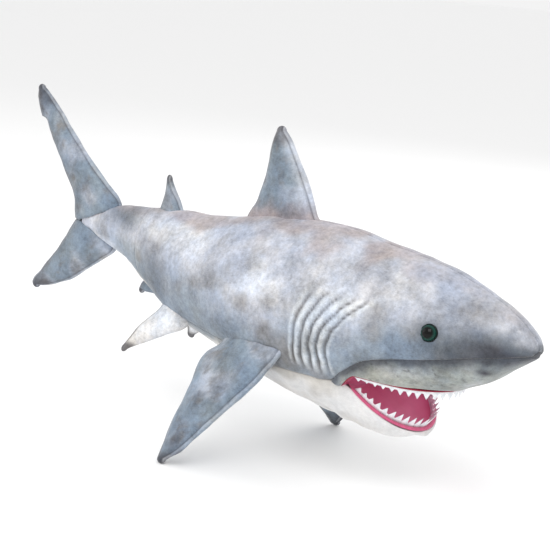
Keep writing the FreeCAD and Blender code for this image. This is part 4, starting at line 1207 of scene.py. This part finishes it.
def eye_material(side, at, faces):
    """Black pupil inside a dark teal iris that lightens outwards, under a clear gloss."""
    material, tree, shader = new_material("eye_gloss_" + ("right" if side < 0 else "left"))
    place = add(tree, "ShaderNodeTexCoord")
    from_centre = add(tree, "ShaderNodeVectorMath", operation="SUBTRACT")
    tree.links.new(place.outputs["Object"], from_centre.inputs[0])
    from_centre.inputs[1].default_value = tuple(at)
    unit = add(tree, "ShaderNodeVectorMath", operation="NORMALIZE")
    tree.links.new(from_centre.outputs[0], unit.inputs[0])
    facing = add(tree, "ShaderNodeVectorMath", operation="DOT_PRODUCT")
    tree.links.new(unit.outputs[0], facing.inputs[0])
    facing.inputs[1].default_value = tuple(faces)
    streaks = noise_node(tree, unit.outputs[0], 9.0, 3.0)
    wander = range_node(tree, streaks, 0.3, 0.7, -0.02, 0.02)
    ramp = add(tree, "ShaderNodeValToRGB")
    stops = [(0.0, (0.002, 0.004, 0.004)), (0.28, (0.002, 0.008, 0.006)), (0.42, (0.002, 0.030, 0.022)),
             (0.60, (0.003, 0.048, 0.035)), (0.74, (0.002, 0.020, 0.015)), (0.82, (0.0008, 0.001, 0.001))]
    ramp.color_ramp.elements[0].position = stops[0][0]
    ramp.color_ramp.elements[0].color = (*stops[0][1], 1.0)
    ramp.color_ramp.elements[1].position = stops[-1][0]
    ramp.color_ramp.elements[1].color = (*stops[-1][1], 1.0)
    for position, tint in stops[1:-1]:
        ramp.color_ramp.elements.new(position).color = (*tint, 1.0)
    tree.links.new(math_node(tree, "ADD", facing.outputs["Value"], wander), ramp.inputs[0])
    tree.links.new(ramp.outputs[0], shader.inputs["Base Color"])
    shader.inputs["Roughness"].default_value = 0.08
    shader.inputs["Specular IOR Level"].default_value = 0.22
    return material


def felt_material():
    """Satiny white felt with faint fibres."""
    material, tree, shader = new_material("tooth_felt")
    place = add(tree, "ShaderNodeTexCoord")
    cloudy = noise_node(tree, place.outputs["Object"], 260.0, 4.0)
    ramp = add(tree, "ShaderNodeValToRGB")
    ramp.color_ramp.elements[0].position = 0.3
    ramp.color_ramp.elements[0].color = (*colour(214, 220, 226), 1.0)
    ramp.color_ramp.elements[1].position = 0.7
    ramp.color_ramp.elements[1].color = (*colour(244, 246, 248), 1.0)
    tree.links.new(cloudy, ramp.inputs[0])
    tree.links.new(ramp.outputs[0], shader.inputs["Base Color"])
    fibres = noise_node(tree, place.outputs["Object"], 1400.0, 3.0)
    bump = add(tree, "ShaderNodeBump")
    bump.inputs["Strength"].default_value = 0.3
    bump.inputs["Distance"].default_value = 0.25 * MM
    tree.links.new(fibres, bump.inputs["Height"])
    tree.links.new(bump.outputs["Normal"], shader.inputs["Normal"])
    shader.inputs["Roughness"].default_value = 0.5
    shader.inputs["Sheen Weight"].default_value = 0.25
    return material


def set_material(piece, material):
    piece.data.materials.clear()
    piece.data.materials.append(material)


# ---- scene --------------------------------------------------------------------------------------
LOOK_AT = Vector((0.02963, 0.0, 0.17950))
CAMERA_DISTANCE = 1.5
CAMERA_AZIMUTH, CAMERA_ELEVATION, CAMERA_ROLL = (math.radians(a) for a in (38.0, 12.0, 5.0))
CAMERA_LENS = 98.18


def make_camera():
    a, e, roll = CAMERA_AZIMUTH, CAMERA_ELEVATION, CAMERA_ROLL
    back = Vector((math.sin(a) * math.cos(e), -math.cos(a) * math.cos(e), math.sin(e)))
    right = Vector((math.cos(a), math.sin(a), 0))
    up = back.cross(right)
    tilted = right * math.cos(roll) + up * math.sin(roll)
    upright = up * math.cos(roll) - right * math.sin(roll)
    data = bpy.data.cameras.new("camera")
    data.lens = CAMERA_LENS
    data.sensor_width = 36.0
    camera = bpy.data.objects.new("camera", data)
    bpy.context.scene.collection.objects.link(camera)
    camera.matrix_world = (Matrix.Translation(LOOK_AT + back * CAMERA_DISTANCE)
                           @ Matrix((tilted, upright, back)).transposed().to_4x4())
    bpy.context.scene.camera = camera


def soft_light(name, place, size, power):
    data = bpy.data.lights.new(name, "AREA")
    data.shape = "SQUARE"
    data.size = size
    data.energy = power
    light = bpy.data.objects.new(name, data)
    bpy.context.scene.collection.objects.link(light)
    light.location = place
    light.rotation_mode = "QUATERNION"
    light.rotation_quaternion = (LOOK_AT - Vector(place)).to_track_quat("-Z", "Y")


def make_studio():
    bpy.ops.object.select_all(action="DESELECT")
    bpy.ops.mesh.primitive_plane_add(size=40.0)
    floor = bpy.context.active_object
    floor.name = "studio_floor"
    material, _, shader = new_material("studio_floor")
    shader.inputs["Base Color"].default_value = (0.97, 0.97, 0.97, 1.0)
    shader.inputs["Roughness"].default_value = 0.9
    set_material(floor, material)
    world = bpy.data.worlds.new("studio")
    world.use_nodes = True
    world.node_tree.nodes["Background"].inputs[0].default_value = (1.0, 1.0, 1.0, 1.0)
    world.node_tree.nodes["Background"].inputs[1].default_value = 0.9
    bpy.context.scene.world = world
    bpy.context.scene.view_settings.view_transform = "Standard"
    soft_light("key_light", (0.9, -1.2, 1.9), 1.4, 19.0)
    soft_light("fill_light", (-1.6, -1.2, 1.0), 1.6, 5.0)
    soft_light("back_light", (-0.4, 1.8, 1.5), 1.5, 10.0)


# ---- putting it together ------------------------------------------------------------------------
make_camera()
make_studio()
body = make_body()
mouth = make_mouth()
fins = make_fins()

grey = plush("plush_print_and_painted_light")
white = plush("white_plush", mottling=0.35, sheen=0.3, wash=0.25)
for name, piece in body.items():
    set_material(piece, white if name in ("belly", "stalk_belly", "throat") else grey)
for piece, _ in fins.values():
    set_material(piece, grey)
# the lining's second colour is painted shade towards the throat
set_material(mouth["lining"], lining_material("mouth_lining", colour(240, 146, 184), colour(206, 102, 142)))
set_material(mouth["gum"], plush("red_piping", colour(150, 42, 62), 0.6, 0.2, 0.3))
set_material(mouth["lip"], plush("pink_piping", colour(206, 96, 132), 0.6, 0.25, 0.3))
felt = felt_material()
set_material(mouth["upper_teeth"], felt)
set_material(mouth["lower_teeth"], felt)

for name in ("side_right", "side_left", "belly"):
    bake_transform(body[name])
for name in ("stalk_right", "stalk_left", "stalk_belly"):
    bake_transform(body[name])
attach(body["muzzle"], "body")
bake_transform(body["throat"])
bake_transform(mouth["lining"])
for name, body_name in (("gum", "body"), ("upper_teeth", "body"), ("lip", "lower_jaw"),
                        ("lower_teeth", "lower_jaw")):
    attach(mouth[name], body_name)

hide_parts("side_panel_right", "gill_panel_right", "gill_pleats_right", "body_filling",
            "tail_panel_right", "tail_filling")
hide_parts("side_panel_left", "gill_panel_left", "gill_pleats_left", "tail_panel_left")
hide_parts("belly_panel", "tail_belly_panel")
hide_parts("tail_point_panel", "tail_point_filling")
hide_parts("muzzle_panel")
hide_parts("jaw_panel", "jaw_filling")
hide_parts("palate_lining", "mouth_floor_lining")
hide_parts("upper_gum")
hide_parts("lower_lip")
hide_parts("upper_teeth")
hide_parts("lower_teeth")

FIN_HOMES = {"dorsal_fin": ("body", "right", "left"), "second_dorsal": ("tail", "right", "left"),
             "anal_fin": ("tail", "left", "right"), "pectoral_right": ("body", "top", "under"),
             "pectoral_left": ("body", "top", "under"), "pelvic_right": ("body", "top", "under"),
             "pelvic_left": ("body", "top", "under")}
for name, (piece, fin) in fins.items():
    if name in FIN_HOMES:
        home, one, other = FIN_HOMES[name]
        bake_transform(piece)
    else:
        one, other = "right", "left"
        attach(piece, "tail_fin")
    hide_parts(name + "_" + one, name + "_" + other, name + "_filling")

for side, name in ((-1, "right"), (1, "left")):
    eye, at, faces = make_eye(side, "glossy_eye_" + name)
    set_material(eye, eye_material(side, at, faces))
    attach(eye, "body")
    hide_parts("eye_" + name)

washer = plush("washer_plastic", colour(226, 224, 218), 0.2, 0.0, 0.1)
for name in ("eye_washer_right", "eye_washer_left"):
    set_material(frame["nodes"][name], washer)
